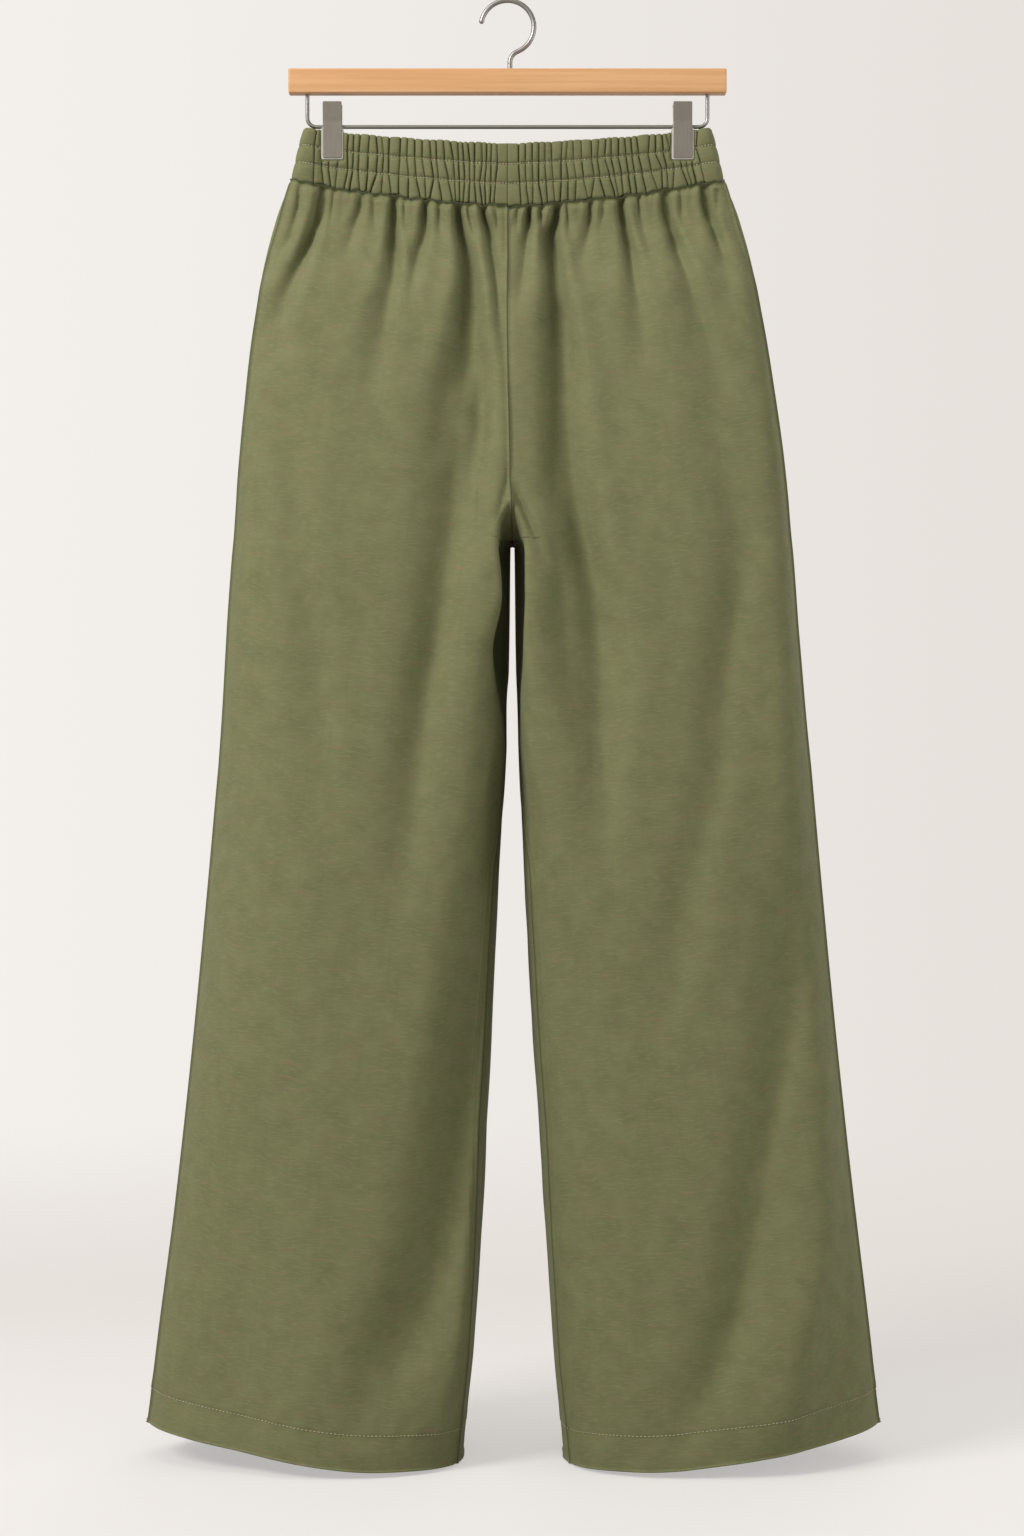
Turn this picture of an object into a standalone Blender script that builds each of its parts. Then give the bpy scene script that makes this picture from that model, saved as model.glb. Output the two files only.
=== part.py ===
"""Wide-leg palazzo pants with an elastic waistband, hung by the band from a wooden clip hanger.

The origin is the inner top of the hook, where a rail carries the hanger. +Z is up and the
front of the garment faces -Y. A level is a distance below the origin. Tables are in
millimetres, and every mesh is written in metres.
"""
import math
import random
from collections import namedtuple

import bmesh
import bpy
import numpy as np

MM = 0.001

# ---- driving dimensions, mm ---------------------------------------------------------------
CLOTH = 1.7                 # wall of a panel
HEM_CLOTH = 2.3             # wall of the turned-up hem, three layers
HEM_HEIGHT = 30.0
BAND_WALL = 2.8             # two layers of cloth round the elastic
HALF_GAP = 0.15             # half of the clearance that is kept at every seam

BAND_TOP_LEVEL = 115.7      # at the centre front; the band sags between the clips
BAND_TOP_LIFT = 15.0        # how much higher its top edge is at the sides
SEAM_LEVEL = 165.1          # waist seam at the centre front
SEAM_LIFT = 22.7
SAG_POWER = 1.4
SAG_FADE = 170.0            # below the seam, the panels' cross threads straighten over this
BAND_TOP_HALF = 164.0       # half of the band's width at its top edge
CROTCH_LEVEL = 436.0
HEM_LEVEL = 1165.0          # at the inseams; the hem rises outwards
HEM_LIFT = 33.0
CENTRE_DRIFT = 4.0          # the legs hang this far to the right of the hook

RISE_FRONT = 55.0           # height of the curve that the front crotch seam makes
RISE_BACK = 75.0
INNER_STRIP = 14.0          # width beside the centre seam and inseam with columns of its own

CLIP_X = 140.0              # clip centre, from the middle
CLIP_WIDTH = 16.4
CLIP_TOP_LEVEL = 78.6
CLIP_BOTTOM_LEVEL = 125.3
CLIP_SHEET = 1.2
CLIP_LEAN = 1.8             # the finger tabs lean apart by this much each
PINCH_FLAT = 10.0           # half-width over which a clip presses the band flat
BAND_BOW = 12.0             # how far the band stands off the middle plane between the clips
END_BULGE = 2.6             # the small loop of band outside each clip
END_ROUND = 6.0             # radius of the band's side fold

WIRE_LEVEL = 99.2           # run of the clip wire
WIRE_RADIUS = 1.6
WIRE_HALF_SPAN = 160.0
WIRE_BEND = 8.0
BAR_LENGTH = 350.0
BAR_THICK = 13.0
BAR_TOP_LEVEL = 53.4
BAR_BOTTOM_LEVEL = 73.1
BAR_ROUND = 2.0
HOOK_WIRE_RADIUS = 2.0
HOOK_BEND = 21.2            # centreline radius of the hook
HOOK_START = 168.0          # degrees, the tip
HOOK_END = -68.0            # degrees, where the hook turns into the shank
SHANK_X = 2.0

# ---- the garment's outline and depth ------------------------------------------------------
# outer and inner: half-widths from the centre line; front and back: depths from the middle
# plane; side_power and seam_power: 2 is an ellipse, more is squarer, less is sharper.
Section = namedtuple("Section", "level outer inner front back side_power seam_power")
SECTIONS = [
    Section(142, 173.2, 0.0, 12.0, 13.0, 2.6, 5.0),
    Section(153, 178.0, 0.0, 14.5, 16.0, 2.6, 5.0),
    Section(190, 190.0, 0.0, 27.0, 31.0, 2.6, 5.0),
    Section(254, 203.5, 0.0, 45.0, 54.0, 2.6, 5.0),
    Section(318, 212.5, 0.0, 58.0, 69.0, 2.6, 5.0),
    Section(380, 219.0, 0.0, 68.0, 79.0, 2.6, 5.0),
    Section(436, 223.5, 0.0, 75.0, 85.0, 2.5, 5.0),
    Section(440, 223.9, 2.6, 75.4, 85.4, 2.5, 5.0),
    Section(450, 224.7, 3.0, 76.2, 86.2, 2.5, 5.0),
    Section(510, 229.0, 3.6, 80.0, 89.0, 2.4, 5.0),
    Section(574, 233.6, 4.8, 84.0, 91.0, 2.3, 3.4),
    Section(638, 239.2, 7.6, 87.0, 93.0, 2.2, 2.7),
    Section(702, 244.8, 10.8, 89.0, 94.0, 2.1, 2.3),
    Section(830, 257.0, 16.8, 92.0, 95.0, 2.0, 2.1),
    Section(958, 271.2, 24.4, 95.0, 97.0, 1.9, 1.9),
    Section(1086, 287.2, 33.0, 97.0, 99.0, 1.8, 1.8),
    Section(1132, 292.8, 38.0, 98.0, 100.0, 1.7, 1.7),
    Section(1166, 297.0, 41.0, 98.0, 100.0, 1.7, 1.7),
]

# Levels of the cross threads that carry the panels' points, at the centre line.
PANEL_ROWS = [165.4, 176, 190, 208, 232, 262, 296, 332, 362, 386, 404, 418, 428,
              436, 440, 450, 475, 520, 590, 680, 780, 880, 980, 1070,
              HEM_LEVEL - HEM_HEIGHT - 2, HEM_LEVEL - HEM_HEIGHT + 2, HEM_LEVEL]
STRIP_COLUMNS = [0.0, 0.3, 0.65]
PANEL_COLUMNS = 17

# The largest folds, as troughs. x is measured from the centre line, so left is negative;
# each runs through three points, and its width grows along it.
Fold = namedtuple("Fold", "x0 level0 x1 level1 x2 level2 depth width0 width2")
FRONT_FOLDS = [
    Fold(-146, 138, -178, 214, -196, 300, 7.2, 9, 16),
    Fold(-126, 145, -136, 180, -144, 235, 4.3, 8, 12),
    Fold(-94, 150, -98, 222, -110, 320, 7.2, 9, 16),
    Fold(-68, 155, -74, 195, -80, 265, 4.9, 8, 12),
    Fold(-37, 155, -54, 318, -89, 660, 11.6, 11, 24),
    Fold(-16, 160, -14, 238, -8, 330, 3.5, 8, 11),
    Fold(14, 160, 11, 185, 8, 235, 3.8, 8, 10),
    Fold(32, 155, 38, 318, 70, 650, 11.6, 11, 24),
    Fold(64, 155, 67, 180, 70, 225, 4.9, 8, 10),
    Fold(91, 150, 96, 200, 104, 275, 6.4, 9, 14),
    Fold(126, 142, 138, 214, 156, 300, 6.7, 9, 16),
    Fold(154, 138, 165, 180, 178, 240, 4.6, 8, 12),
    Fold(-190, 340, -170, 518, -150, 790, 4.8, 16, 26),
    Fold(186, 390, 154, 606, 112, 800, 5.1, 16, 26),
    Fold(230, 660, 196, 918, 146, 1150, 5.8, 18, 30),
    Fold(-16, 560, -52, 860, -120, 1140, 8.0, 16, 34),
    Fold(28, 660, 48, 760, 76, 870, 3.4, 14, 20),
]
BACK_FOLDS = [
    Fold(-150, 138, -174, 210, -190, 290, 6.7, 9, 16),
    Fold(-112, 146, -118, 210, -130, 310, 6.4, 9, 15),
    Fold(-84, 152, -86, 190, -92, 245, 4.6, 8, 12),
    Fold(-52, 155, -64, 300, -96, 620, 10.2, 11, 24),
    Fold(-22, 160, -20, 210, -16, 275, 3.8, 8, 11),
    Fold(20, 160, 19, 200, 15, 255, 3.8, 8, 11),
    Fold(46, 155, 58, 300, 92, 640, 10.7, 11, 24),
    Fold(78, 153, 82, 200, 90, 265, 4.9, 8, 12),
    Fold(108, 147, 118, 220, 134, 315, 6.7, 9, 16),
    Fold(146, 139, 166, 205, 184, 285, 5.8, 9, 14),
    Fold(-196, 380, -172, 600, -140, 860, 5.1, 16, 26),
    Fold(198, 400, 176, 620, 150, 880, 5.1, 16, 26),
    Fold(226, 700, 190, 930, 140, 1150, 5.8, 18, 30),
    Fold(-226, 720, -196, 940, -150, 1150, 5.3, 18, 30),
]

# Rows of the band from its top edge to the waist seam. share: how far down it is; puff: how
# far a channel stands out between its stitch rows; gather: how much of the gathers it shows.
BandRow = namedtuple("BandRow", "share puff gather")
BAND_ROWS = [
    BandRow(0.00, -0.6, 0.45),
    BandRow(0.05, 0.3, 0.85),
    BandRow(0.19, 0.8, 1.0),
    BandRow(0.345, -0.3, 0.6),
    BandRow(0.50, 0.8, 1.0),
    BandRow(0.655, -0.3, 0.6),
    BandRow(0.83, 0.8, 1.0),
    BandRow(1.00, -0.7, 0.7),
]
GATHERS = 23                # in each quarter of the band
GATHER_RIDGE = 1.5
GATHER_VALLEY = -1.1
FLAT_CENTRE = 0.05          # share of a quarter that is ungathered at the centre seam
FLAT_SIDE = 0.88            # and from here to the side
GATHER_SHIFT = 0.16         # how unevenly the gathers stand, in gathers

FRONT, BACK = -1, 1
LEFT, RIGHT = -1, 1


def smooth_step(value):
    t = min(max(value, 0.0), 1.0)
    return t * t * (3.0 - 2.0 * t)


def section_value(field, level):
    """Read one column of SECTIONS at any level, on a smooth curve through its rows."""
    levels = np.array([row.level for row in SECTIONS], float)
    values = np.array([getattr(row, field) for row in SECTIONS], float)
    slopes = np.gradient(values, levels)
    level = min(max(level, levels[0]), levels[-1])
    i = min(int(np.searchsorted(levels, level, side="right")) - 1, len(levels) - 2)
    step = levels[i + 1] - levels[i]
    t = (level - levels[i]) / step
    return float((2 * t**3 - 3 * t**2 + 1) * values[i] + (t**3 - 2 * t**2 + t) * step * slopes[i]
                 + (3 * t**2 - 2 * t**3) * values[i + 1] + (t**3 - t**2) * step * slopes[i + 1])


def drift(level):
    """Sideways place of the centre line."""
    return CENTRE_DRIFT * smooth_step((level - SEAM_LEVEL) / (CROTCH_LEVEL - SEAM_LEVEL))


def sag_lift(x, half_width):
    return min(abs(x) / half_width, 1.0) ** SAG_POWER


def waist_depth(x, half_width):
    """Distance of the band's outer face from the middle plane: pinched at the clips."""
    pinched = HALF_GAP + BAND_WALL
    x = abs(x)
    inner_edge, outer_edge = CLIP_X - PINCH_FLAT, CLIP_X + PINCH_FLAT
    if x < inner_edge:
        depth = pinched + BAND_BOW * math.cos(0.5 * math.pi * x / inner_edge) ** 1.3
    elif x < outer_edge:
        depth = pinched
    else:
        depth = pinched + END_BULGE * math.sin(math.pi * min((x - outer_edge)
                                                             / (half_width - outer_edge), 1.0))
    into_end = (x - (half_width - END_ROUND)) / END_ROUND
    if into_end > 0.0:
        depth *= math.sqrt(max(1.0 - into_end**2, 0.0))
    return depth


def fold_depth(folds, x, level):
    """Depth of all the folds at one point of a panel."""
    total = 0.0
    for fold in folds:
        along = (level - fold.level0) / (fold.level2 - fold.level0)
        if along <= 0.0 or along >= 1.0:
            continue
        middle = (fold.level1 - fold.level0) / (fold.level2 - fold.level0)
        centre = (fold.x0 * (along - middle) * (along - 1.0) / middle
                  + fold.x1 * along * (along - 1.0) / (middle * (middle - 1.0))
                  + fold.x2 * along * (along - middle) / (1.0 - middle))
        width = fold.width0 + (fold.width2 - fold.width0) * along
        strength = smooth_step(0.3 + along / 0.25) * smooth_step((1.0 - along) / 0.6)
        total += fold.depth * strength * math.exp(-((x - centre) / width) ** 2)
    return total


def resample(points, shares):
    """Points at the given shares of a fine polyline's length."""
    points = np.array(points)
    lengths = np.concatenate([[0.0], np.cumsum(np.linalg.norm(np.diff(points, axis=0), axis=1))])
    wanted = np.array(shares) * lengths[-1]
    return np.column_stack([np.interp(wanted, lengths, points[:, k]) for k in range(2)])


def leg_section(row_level, face, outer, inner):
    """Half-section of one leg from its inner edge to its side seam, as (x, depth) points.

    Above the crotch the inner end is cut off at the centre seam, which leaves the front at
    the start of the crotch curve and reaches the middle plane at the crotch.
    """
    depth = section_value("front" if face == FRONT else "back", row_level)
    side_power = section_value("side_power", row_level)
    seam_power = section_value("seam_power", row_level)
    middle = 0.5 * (outer + inner)
    reach = middle - inner
    rise = RISE_FRONT if face == FRONT else RISE_BACK
    above = (CROTCH_LEVEL - row_level) / rise
    if above > 0.0:
        start = math.sqrt(1.0 - (1.0 - above) ** 2) if above < 1.0 else 1.0
        start = min(start, 0.9999)
        reach = middle / (1.0 - start**seam_power) ** (1.0 / seam_power)
    fine = [(i / 60.0) ** 4 for i in range(61)]
    inner_part = [(inner + (middle - inner) * t,
                   depth * max(1.0 - ((middle - inner) * (1.0 - t) / reach) ** seam_power, 0.0)
                   ** (1.0 / seam_power)) for t in fine]
    outer_part = [(outer - (outer - middle) * t,
                   depth * (1.0 - (1.0 - t) ** side_power) ** (1.0 / side_power))
                  for t in reversed(fine)]
    strip = [p for p in inner_part if p[0] < inner + INNER_STRIP]
    rest = [p for p in inner_part if p[0] >= inner + INNER_STRIP] + outer_part[1:]
    strip.append(rest[0])
    shares = [i / PANEL_COLUMNS for i in range(PANEL_COLUMNS + 1)]
    return np.vstack([resample(strip, STRIP_COLUMNS), resample(rest, shares)])


def panel_points(side, face):
    """Outer points of a leg panel: rows down the leg, columns from inner edge to side seam."""
    folds = FRONT_FOLDS if face == FRONT else BACK_FOLDS
    grid = []
    for row_level in PANEL_ROWS:
        sag = SEAM_LIFT * (1.0 - smooth_step((row_level - SEAM_LEVEL) / SAG_FADE))
        below = max(row_level - CROTCH_LEVEL, 0.0) / (HEM_LEVEL - CROTCH_LEVEL)
        outer = section_value("outer", row_level - sag - HEM_LIFT * below)
        inner = section_value("inner", row_level) if row_level > CROTCH_LEVEL else 0.0
        waist_share = 1.0 - smooth_step((row_level - SEAM_LEVEL) / 80.0)
        full_depth = section_value("front" if face == FRONT else "back", row_level)
        row = []
        for x, depth in leg_section(row_level, face, outer, inner):
            level = (row_level - sag * sag_lift(x, outer)
                     - HEM_LIFT * below * (x - inner) / (outer - inner))
            depth += waist_share * (waist_depth(x, outer) - depth)
            room = smooth_step(depth / (0.5 * full_depth) - 0.2)
            depth -= room * fold_depth(folds, side * x, level)
            row.append((side * max(x, HALF_GAP) + drift(level), face * max(depth, HALF_GAP),
                        -level))
        grid.append(row)
    return np.array(grid)


def inner_points(outer, side, face, walls):
    """The inner face of a wall: each point moved in along the surface's normal.

    A point that would cross the middle plane or the centre line stays on its own side.
    """
    down = np.gradient(outer, axis=0)
    across = np.gradient(outer, axis=1)
    normals = np.cross(across, down)
    normals /= np.linalg.norm(normals, axis=2, keepdims=True)
    if side * face > 0:
        normals = -normals
    inner = outer - normals * np.array(walls)[:, None, None]
    for i, row in enumerate(inner):
        for j, point in enumerate(row):
            centre = drift(-point[2])
            point[0] = centre + side * max(side * (point[0] - centre), HALF_GAP)
            point[1] = face * max(face * point[1], HALF_GAP)
            if i == 0:
                point[2] = min(point[2], outer[i, j, 2])
            if i == len(inner) - 1:
                point[2] = max(point[2], outer[i, j, 2])
    return inner


def quads_between(mesh, first, second):
    for a, b, c, d in zip(first, first[1:], second[1:], second):
        mesh.faces.new((a, b, c, d))


def zip_between(mesh, first, second):
    """Triangles between two rows of points that need not have the same count."""
    i = j = 0
    while i < len(first) - 1 or j < len(second) - 1:
        next_first = (i + 1) / (len(first) - 1) if i < len(first) - 1 else math.inf
        next_second = (j + 1) / (len(second) - 1) if j < len(second) - 1 else math.inf
        if i < len(first) - 1 and j < len(second) - 1:
            next_first = (first[i + 1].co - first[0].co).length
            next_second = (second[j + 1].co - second[0].co).length
        if next_first <= next_second:
            mesh.faces.new((first[i], first[i + 1], second[j]))
            i += 1
        else:
            mesh.faces.new((first[i], second[j + 1], second[j]))
            j += 1


def wall_mesh(name, outer, inner):
    """Closed wall between an outer and an inner grid, which may have unlike counts."""
    mesh = bmesh.new()
    faces = []
    for grid in (outer, inner):
        faces.append([[mesh.verts.new([c * MM for c in point]) for point in row]
                      for row in grid])
    for rows in faces:
        for first, second in zip(rows, rows[1:]):
            quads_between(mesh, first, second)
    out, into = faces
    join = quads_between if outer.shape == inner.shape else zip_between
    join(mesh, out[0], into[0])
    join(mesh, out[-1], into[-1])
    join(mesh, [row[0] for row in out], [row[0] for row in into])
    join(mesh, [row[-1] for row in out], [row[-1] for row in into])
    bmesh.ops.triangulate(mesh, faces=mesh.faces[:])
    bmesh.ops.recalc_face_normals(mesh, faces=mesh.faces[:])
    data = bpy.data.meshes.new(name)
    mesh.to_mesh(data)
    mesh.free()
    return data


def band_columns(seed):
    """Shares of a quarter's width, row by row, of the gathers' valleys and shoulders."""
    dice = random.Random(seed)
    pitch = (FLAT_SIDE - FLAT_CENTRE) / GATHERS
    rows = []
    own_shift = [dice.uniform(-1, 1) for _ in range(GATHERS + 1)]
    for row in BAND_ROWS:
        loose = 2.0 if row.share == 1.0 else 1.0
        valleys = [FLAT_CENTRE + pitch * (i + GATHER_SHIFT * (own_shift[i]
                                                              + loose * dice.uniform(-1, 1)))
                   for i in range(GATHERS + 1)]
        columns = [(0.0, 0.2), (0.5 * FLAT_CENTRE, 0.2)]
        for here, there in zip(valleys, valleys[1:]):
            columns += [(here, GATHER_VALLEY), (here + 0.3 * (there - here), GATHER_RIDGE),
                        (here + 0.7 * (there - here), GATHER_RIDGE)]
        beside_clip = (CLIP_X + 0.5 * CLIP_WIDTH + 1.0) / band_half_width(row.share)
        columns += [(valleys[-1], GATHER_VALLEY), (max(beside_clip, valleys[-1] + 0.01), 0.0),
                    (0.93, 0.4), (0.955, 0.2), (0.975, 0.0), (0.992, 0.0), (1.0, 0.0)]
        rows.append(columns)
    return rows


def band_place(share, x, half_width):
    """Level of a point of the band."""
    top = BAND_TOP_LEVEL - BAND_TOP_LIFT * sag_lift(x, half_width)
    bottom = SEAM_LEVEL - SEAM_LIFT * sag_lift(x, half_width)
    return top + share * (bottom - top)


def band_half_width(share):
    swell = 1.2 * math.sin(0.5 * math.pi * share)
    seam_half = section_value("outer", SEAM_LEVEL - SEAM_LIFT)
    return BAND_TOP_HALF + share * (seam_half - BAND_TOP_HALF) + swell * (1.0 - share)


def band_points(side, face, seed):
    """Outer and inner points of one quarter of the waistband."""
    outer, inner = [], []
    for row, columns in zip(BAND_ROWS, band_columns(seed)):
        half = band_half_width(row.share)
        points = []
        for u, gather in columns:
            x = u * half
            depth = waist_depth(x, half)
            under_jaw = 1.0 - smooth_step((band_place(row.share, x, half)
                                           - CLIP_BOTTOM_LEVEL - 1.0) / 5.0)
            beside_jaw = smooth_step((abs(x - CLIP_X) - 0.5 * CLIP_WIDTH - 1.0) / 3.0)
            pressed = under_jaw * (1.0 - beside_jaw)
            shape = (row.puff + gather * row.gather) * (1.0 - pressed)
            closing = smooth_step((1.0 - u) / 0.03)
            depth = max(depth + shape * closing, HALF_GAP)
            corner = 2.0 * (1.0 - row.share) * (1.0 - smooth_step((1.0 - u) / 0.02))
            level = band_place(row.share, x, half) + corner
            points.append((side * max(x, HALF_GAP), face * depth, -level))
        outer.append(points)
    for share in (0.0, 1.0):
        half = band_half_width(share)
        points = []
        for u in (0.0, 0.15, 0.3, 0.45, 0.6, 0.72, 0.79, 0.92, 0.95, 1.0 - BAND_WALL / half):
            x = u * half
            depth = max(waist_depth(x, half) - BAND_WALL, HALF_GAP)
            points.append((side * max(x, HALF_GAP), face * depth,
                           -band_place(share, x, half)))
        inner.append(points)
    return np.array(outer), np.array(inner)


def finish(name, colour, roughness, metallic):
    material = bpy.data.materials.new(name)
    material.use_nodes = True
    shader = material.node_tree.nodes["Principled BSDF"]
    shader.inputs["Base Color"].default_value = (*colour, 1.0)
    shader.inputs["Roughness"].default_value = roughness
    shader.inputs["Metallic"].default_value = metallic
    return material


def place(collection, name, data, material):
    piece = bpy.data.objects.new(name, data)
    data.materials.append(material)
    collection.objects.link(piece)
    return piece


def garment(collection, cloth):
    """Four leg panels and the four quarters of the waistband."""
    walls = [HEM_CLOTH if level > HEM_LEVEL - HEM_HEIGHT else CLOTH for level in PANEL_ROWS]
    seed = 0
    for side, side_name in ((LEFT, "left"), (RIGHT, "right")):
        for face, face_name in ((FRONT, "front"), (BACK, "back")):
            name = f"{face_name}_{side_name}"
            outer = panel_points(side, face)
            inner = inner_points(outer, side, face, walls)
            place(collection, name, wall_mesh(name, outer, inner), cloth)
            seed += 1
            outer, inner = band_points(side, face, seed)
            place(collection, f"band_{name}", wall_mesh(f"band_{name}", outer, inner), cloth)


def wire(collection, name, points, radius, material):
    """A bent wire through points in the middle plane, with closed ends."""
    curve = bpy.data.curves.new(name, "CURVE")
    curve.dimensions = "3D"
    curve.bevel_depth = radius * MM
    curve.bevel_resolution = 2
    curve.use_fill_caps = True
    spline = curve.splines.new("POLY")
    spline.points.add(len(points) - 1)
    for knot, (x, level) in zip(spline.points, points):
        knot.co = (x * MM, 0.0, -level * MM, 1.0)
    return place(collection, name, curve, material)


def arc(centre_x, centre_level, radius, start, end, steps):
    """Points on an arc; angles in degrees from +X, counter-clockwise seen from the front."""
    angles = [math.radians(start + (end - start) * i / steps) for i in range(steps + 1)]
    return [(centre_x + radius * math.cos(a), centre_level - radius * math.sin(a))
            for a in angles]


def box(collection, name, size, centre, rounding, material):
    """A block with rounded edges; size and centre in mm."""
    bpy.ops.mesh.primitive_cube_add(size=1.0, location=[c * MM for c in centre])
    piece = bpy.context.object
    piece.name = name
    piece.scale = [s * MM for s in size]
    bpy.ops.object.transform_apply(location=False, rotation=False, scale=True)
    bevel = piece.modifiers.new("edges", "BEVEL")
    bevel.width = rounding * MM
    bevel.segments = 2
    piece.data.materials.append(material)
    for owner in piece.users_collection:
        owner.objects.unlink(piece)
    collection.objects.link(piece)
    return piece


def hanger(collection, beech, steel):
    """Wooden bar, hook, clip wire and the two clips."""
    middle = 0.5 * (BAR_TOP_LEVEL + BAR_BOTTOM_LEVEL)
    box(collection, "hanger_bar", (BAR_LENGTH, BAR_THICK, BAR_BOTTOM_LEVEL - BAR_TOP_LEVEL),
        (0.0, 0.0, -middle), BAR_ROUND, beech)

    hook_centre = HOOK_BEND - HOOK_WIRE_RADIUS
    turn = arc(0.0, hook_centre, HOOK_BEND, HOOK_START, HOOK_END, 22)
    end = math.radians(HOOK_END)
    neck_bend = (turn[-1][0] - SHANK_X) / (1.0 - math.cos(end))
    neck = arc(SHANK_X + neck_bend, hook_centre - (HOOK_BEND + neck_bend) * math.sin(end),
               neck_bend, 180.0 + HOOK_END, 180.0, 5)
    shank_end = (SHANK_X, BAR_TOP_LEVEL - 2 * HALF_GAP)
    wire(collection, "hanger_hook", turn + neck[1:] + [shank_end], HOOK_WIRE_RADIUS, steel)

    top = BAR_BOTTOM_LEVEL + 2 * HALF_GAP
    corner_level = WIRE_LEVEL - WIRE_BEND
    corner_x = WIRE_HALF_SPAN - WIRE_BEND
    left = [(-WIRE_HALF_SPAN, top)] + arc(-corner_x, corner_level, WIRE_BEND, 180, 270, 5)
    right = arc(corner_x, corner_level, WIRE_BEND, 270, 360, 5) + [(WIRE_HALF_SPAN, top)]
    wire(collection, "clip_wire", left + right, WIRE_RADIUS, steel)

    for side, name in ((LEFT, "left"), (RIGHT, "right")):
        clip(collection, side * CLIP_X, name, steel)


def clip(collection, x, name, steel):
    """Two pressed plates that close on the band, and the spring barrel round the wire."""
    jaw = HALF_GAP + BAND_WALL + 4 * HALF_GAP
    for face, face_name in ((FRONT, "front"), (BACK, "back")):
        profile = [(jaw, CLIP_BOTTOM_LEVEL), (jaw, WIRE_LEVEL - 4),
                   (jaw + CLIP_LEAN, CLIP_TOP_LEVEL)]
        mesh = bmesh.new()
        rows = [[mesh.verts.new(((x + half) * MM, face * y * MM, -level * MM))
                 for half in (-0.5 * CLIP_WIDTH, 0.5 * CLIP_WIDTH)] for y, level in profile]
        for first, second in zip(rows, rows[1:]):
            if face == FRONT:
                mesh.faces.new((first[0], first[1], second[1], second[0]))
            else:
                mesh.faces.new((first[1], first[0], second[0], second[1]))
        data = bpy.data.meshes.new(f"clip_{face_name}_{name}")
        mesh.to_mesh(data)
        mesh.free()
        plate = place(collection, data.name, data, steel)
        sheet = plate.modifiers.new("sheet", "SOLIDIFY")
        sheet.thickness = CLIP_SHEET * MM
        sheet.offset = 1.0
        edge = plate.modifiers.new("edge", "BEVEL")
        edge.width = 0.25 * MM
        edge.segments = 1
        edge.limit_method = "ANGLE"
    barrel(collection, f"clip_spring_{name}", x, jaw - 2 * HALF_GAP, steel)


def barrel(collection, name, x, radius, steel):
    """A short tube round the wire, turned from its wall's profile."""
    bore = WIRE_RADIUS + 2 * HALF_GAP
    half = 0.5 * CLIP_WIDTH - 2.0
    mesh = bmesh.new()
    profile = [mesh.verts.new((px * MM, 0.0, radial * MM)) for px, radial in
               ((half, bore), (half, radius), (-half, radius), (-half, bore))]
    for i, corner in enumerate(profile):
        mesh.edges.new((corner, profile[(i + 1) % len(profile)]))
    data = bpy.data.meshes.new(name)
    mesh.to_mesh(data)
    mesh.free()
    tube = place(collection, name, data, steel)
    tube.location = (x * MM, 0.0, -WIRE_LEVEL * MM)
    turn = tube.modifiers.new("turn", "SCREW")
    turn.axis = "X"
    turn.angle = 2.0 * math.pi
    turn.steps = turn.render_steps = 16
    turn.use_merge_vertices = True
    turn.merge_threshold = 0.00001
    return tube


def main():
    for leftover in list(bpy.data.objects):
        bpy.data.objects.remove(leftover)
    collection = bpy.data.collections.new("palazzo_pants")
    bpy.context.scene.collection.children.link(collection)
    cloth = finish("olive cloth", (0.155, 0.165, 0.075), 0.85, 0.0)
    beech = finish("beech", (0.72, 0.42, 0.20), 0.5, 0.0)
    steel = finish("brushed steel", (0.30, 0.28, 0.25), 0.35, 1.0)
    garment(collection, cloth)
    hanger(collection, beech, steel)


main()
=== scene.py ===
import math
import random
from collections import namedtuple

import bmesh
import bpy
import numpy as np
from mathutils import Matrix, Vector


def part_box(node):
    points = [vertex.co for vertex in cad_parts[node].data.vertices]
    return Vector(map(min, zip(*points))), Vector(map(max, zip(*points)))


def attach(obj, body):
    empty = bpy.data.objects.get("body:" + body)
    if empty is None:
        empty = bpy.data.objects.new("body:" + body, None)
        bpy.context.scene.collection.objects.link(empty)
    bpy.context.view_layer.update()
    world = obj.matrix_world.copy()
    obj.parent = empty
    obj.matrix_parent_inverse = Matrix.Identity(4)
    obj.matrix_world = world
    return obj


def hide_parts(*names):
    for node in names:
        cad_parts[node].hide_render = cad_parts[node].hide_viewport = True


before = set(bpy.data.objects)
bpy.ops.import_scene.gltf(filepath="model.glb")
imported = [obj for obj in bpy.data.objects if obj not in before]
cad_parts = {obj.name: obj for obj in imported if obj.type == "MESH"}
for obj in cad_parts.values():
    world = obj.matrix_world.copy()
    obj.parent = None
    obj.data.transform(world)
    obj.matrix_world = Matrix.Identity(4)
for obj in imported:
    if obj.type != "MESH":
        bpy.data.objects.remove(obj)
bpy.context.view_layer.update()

MM = 0.001


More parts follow.
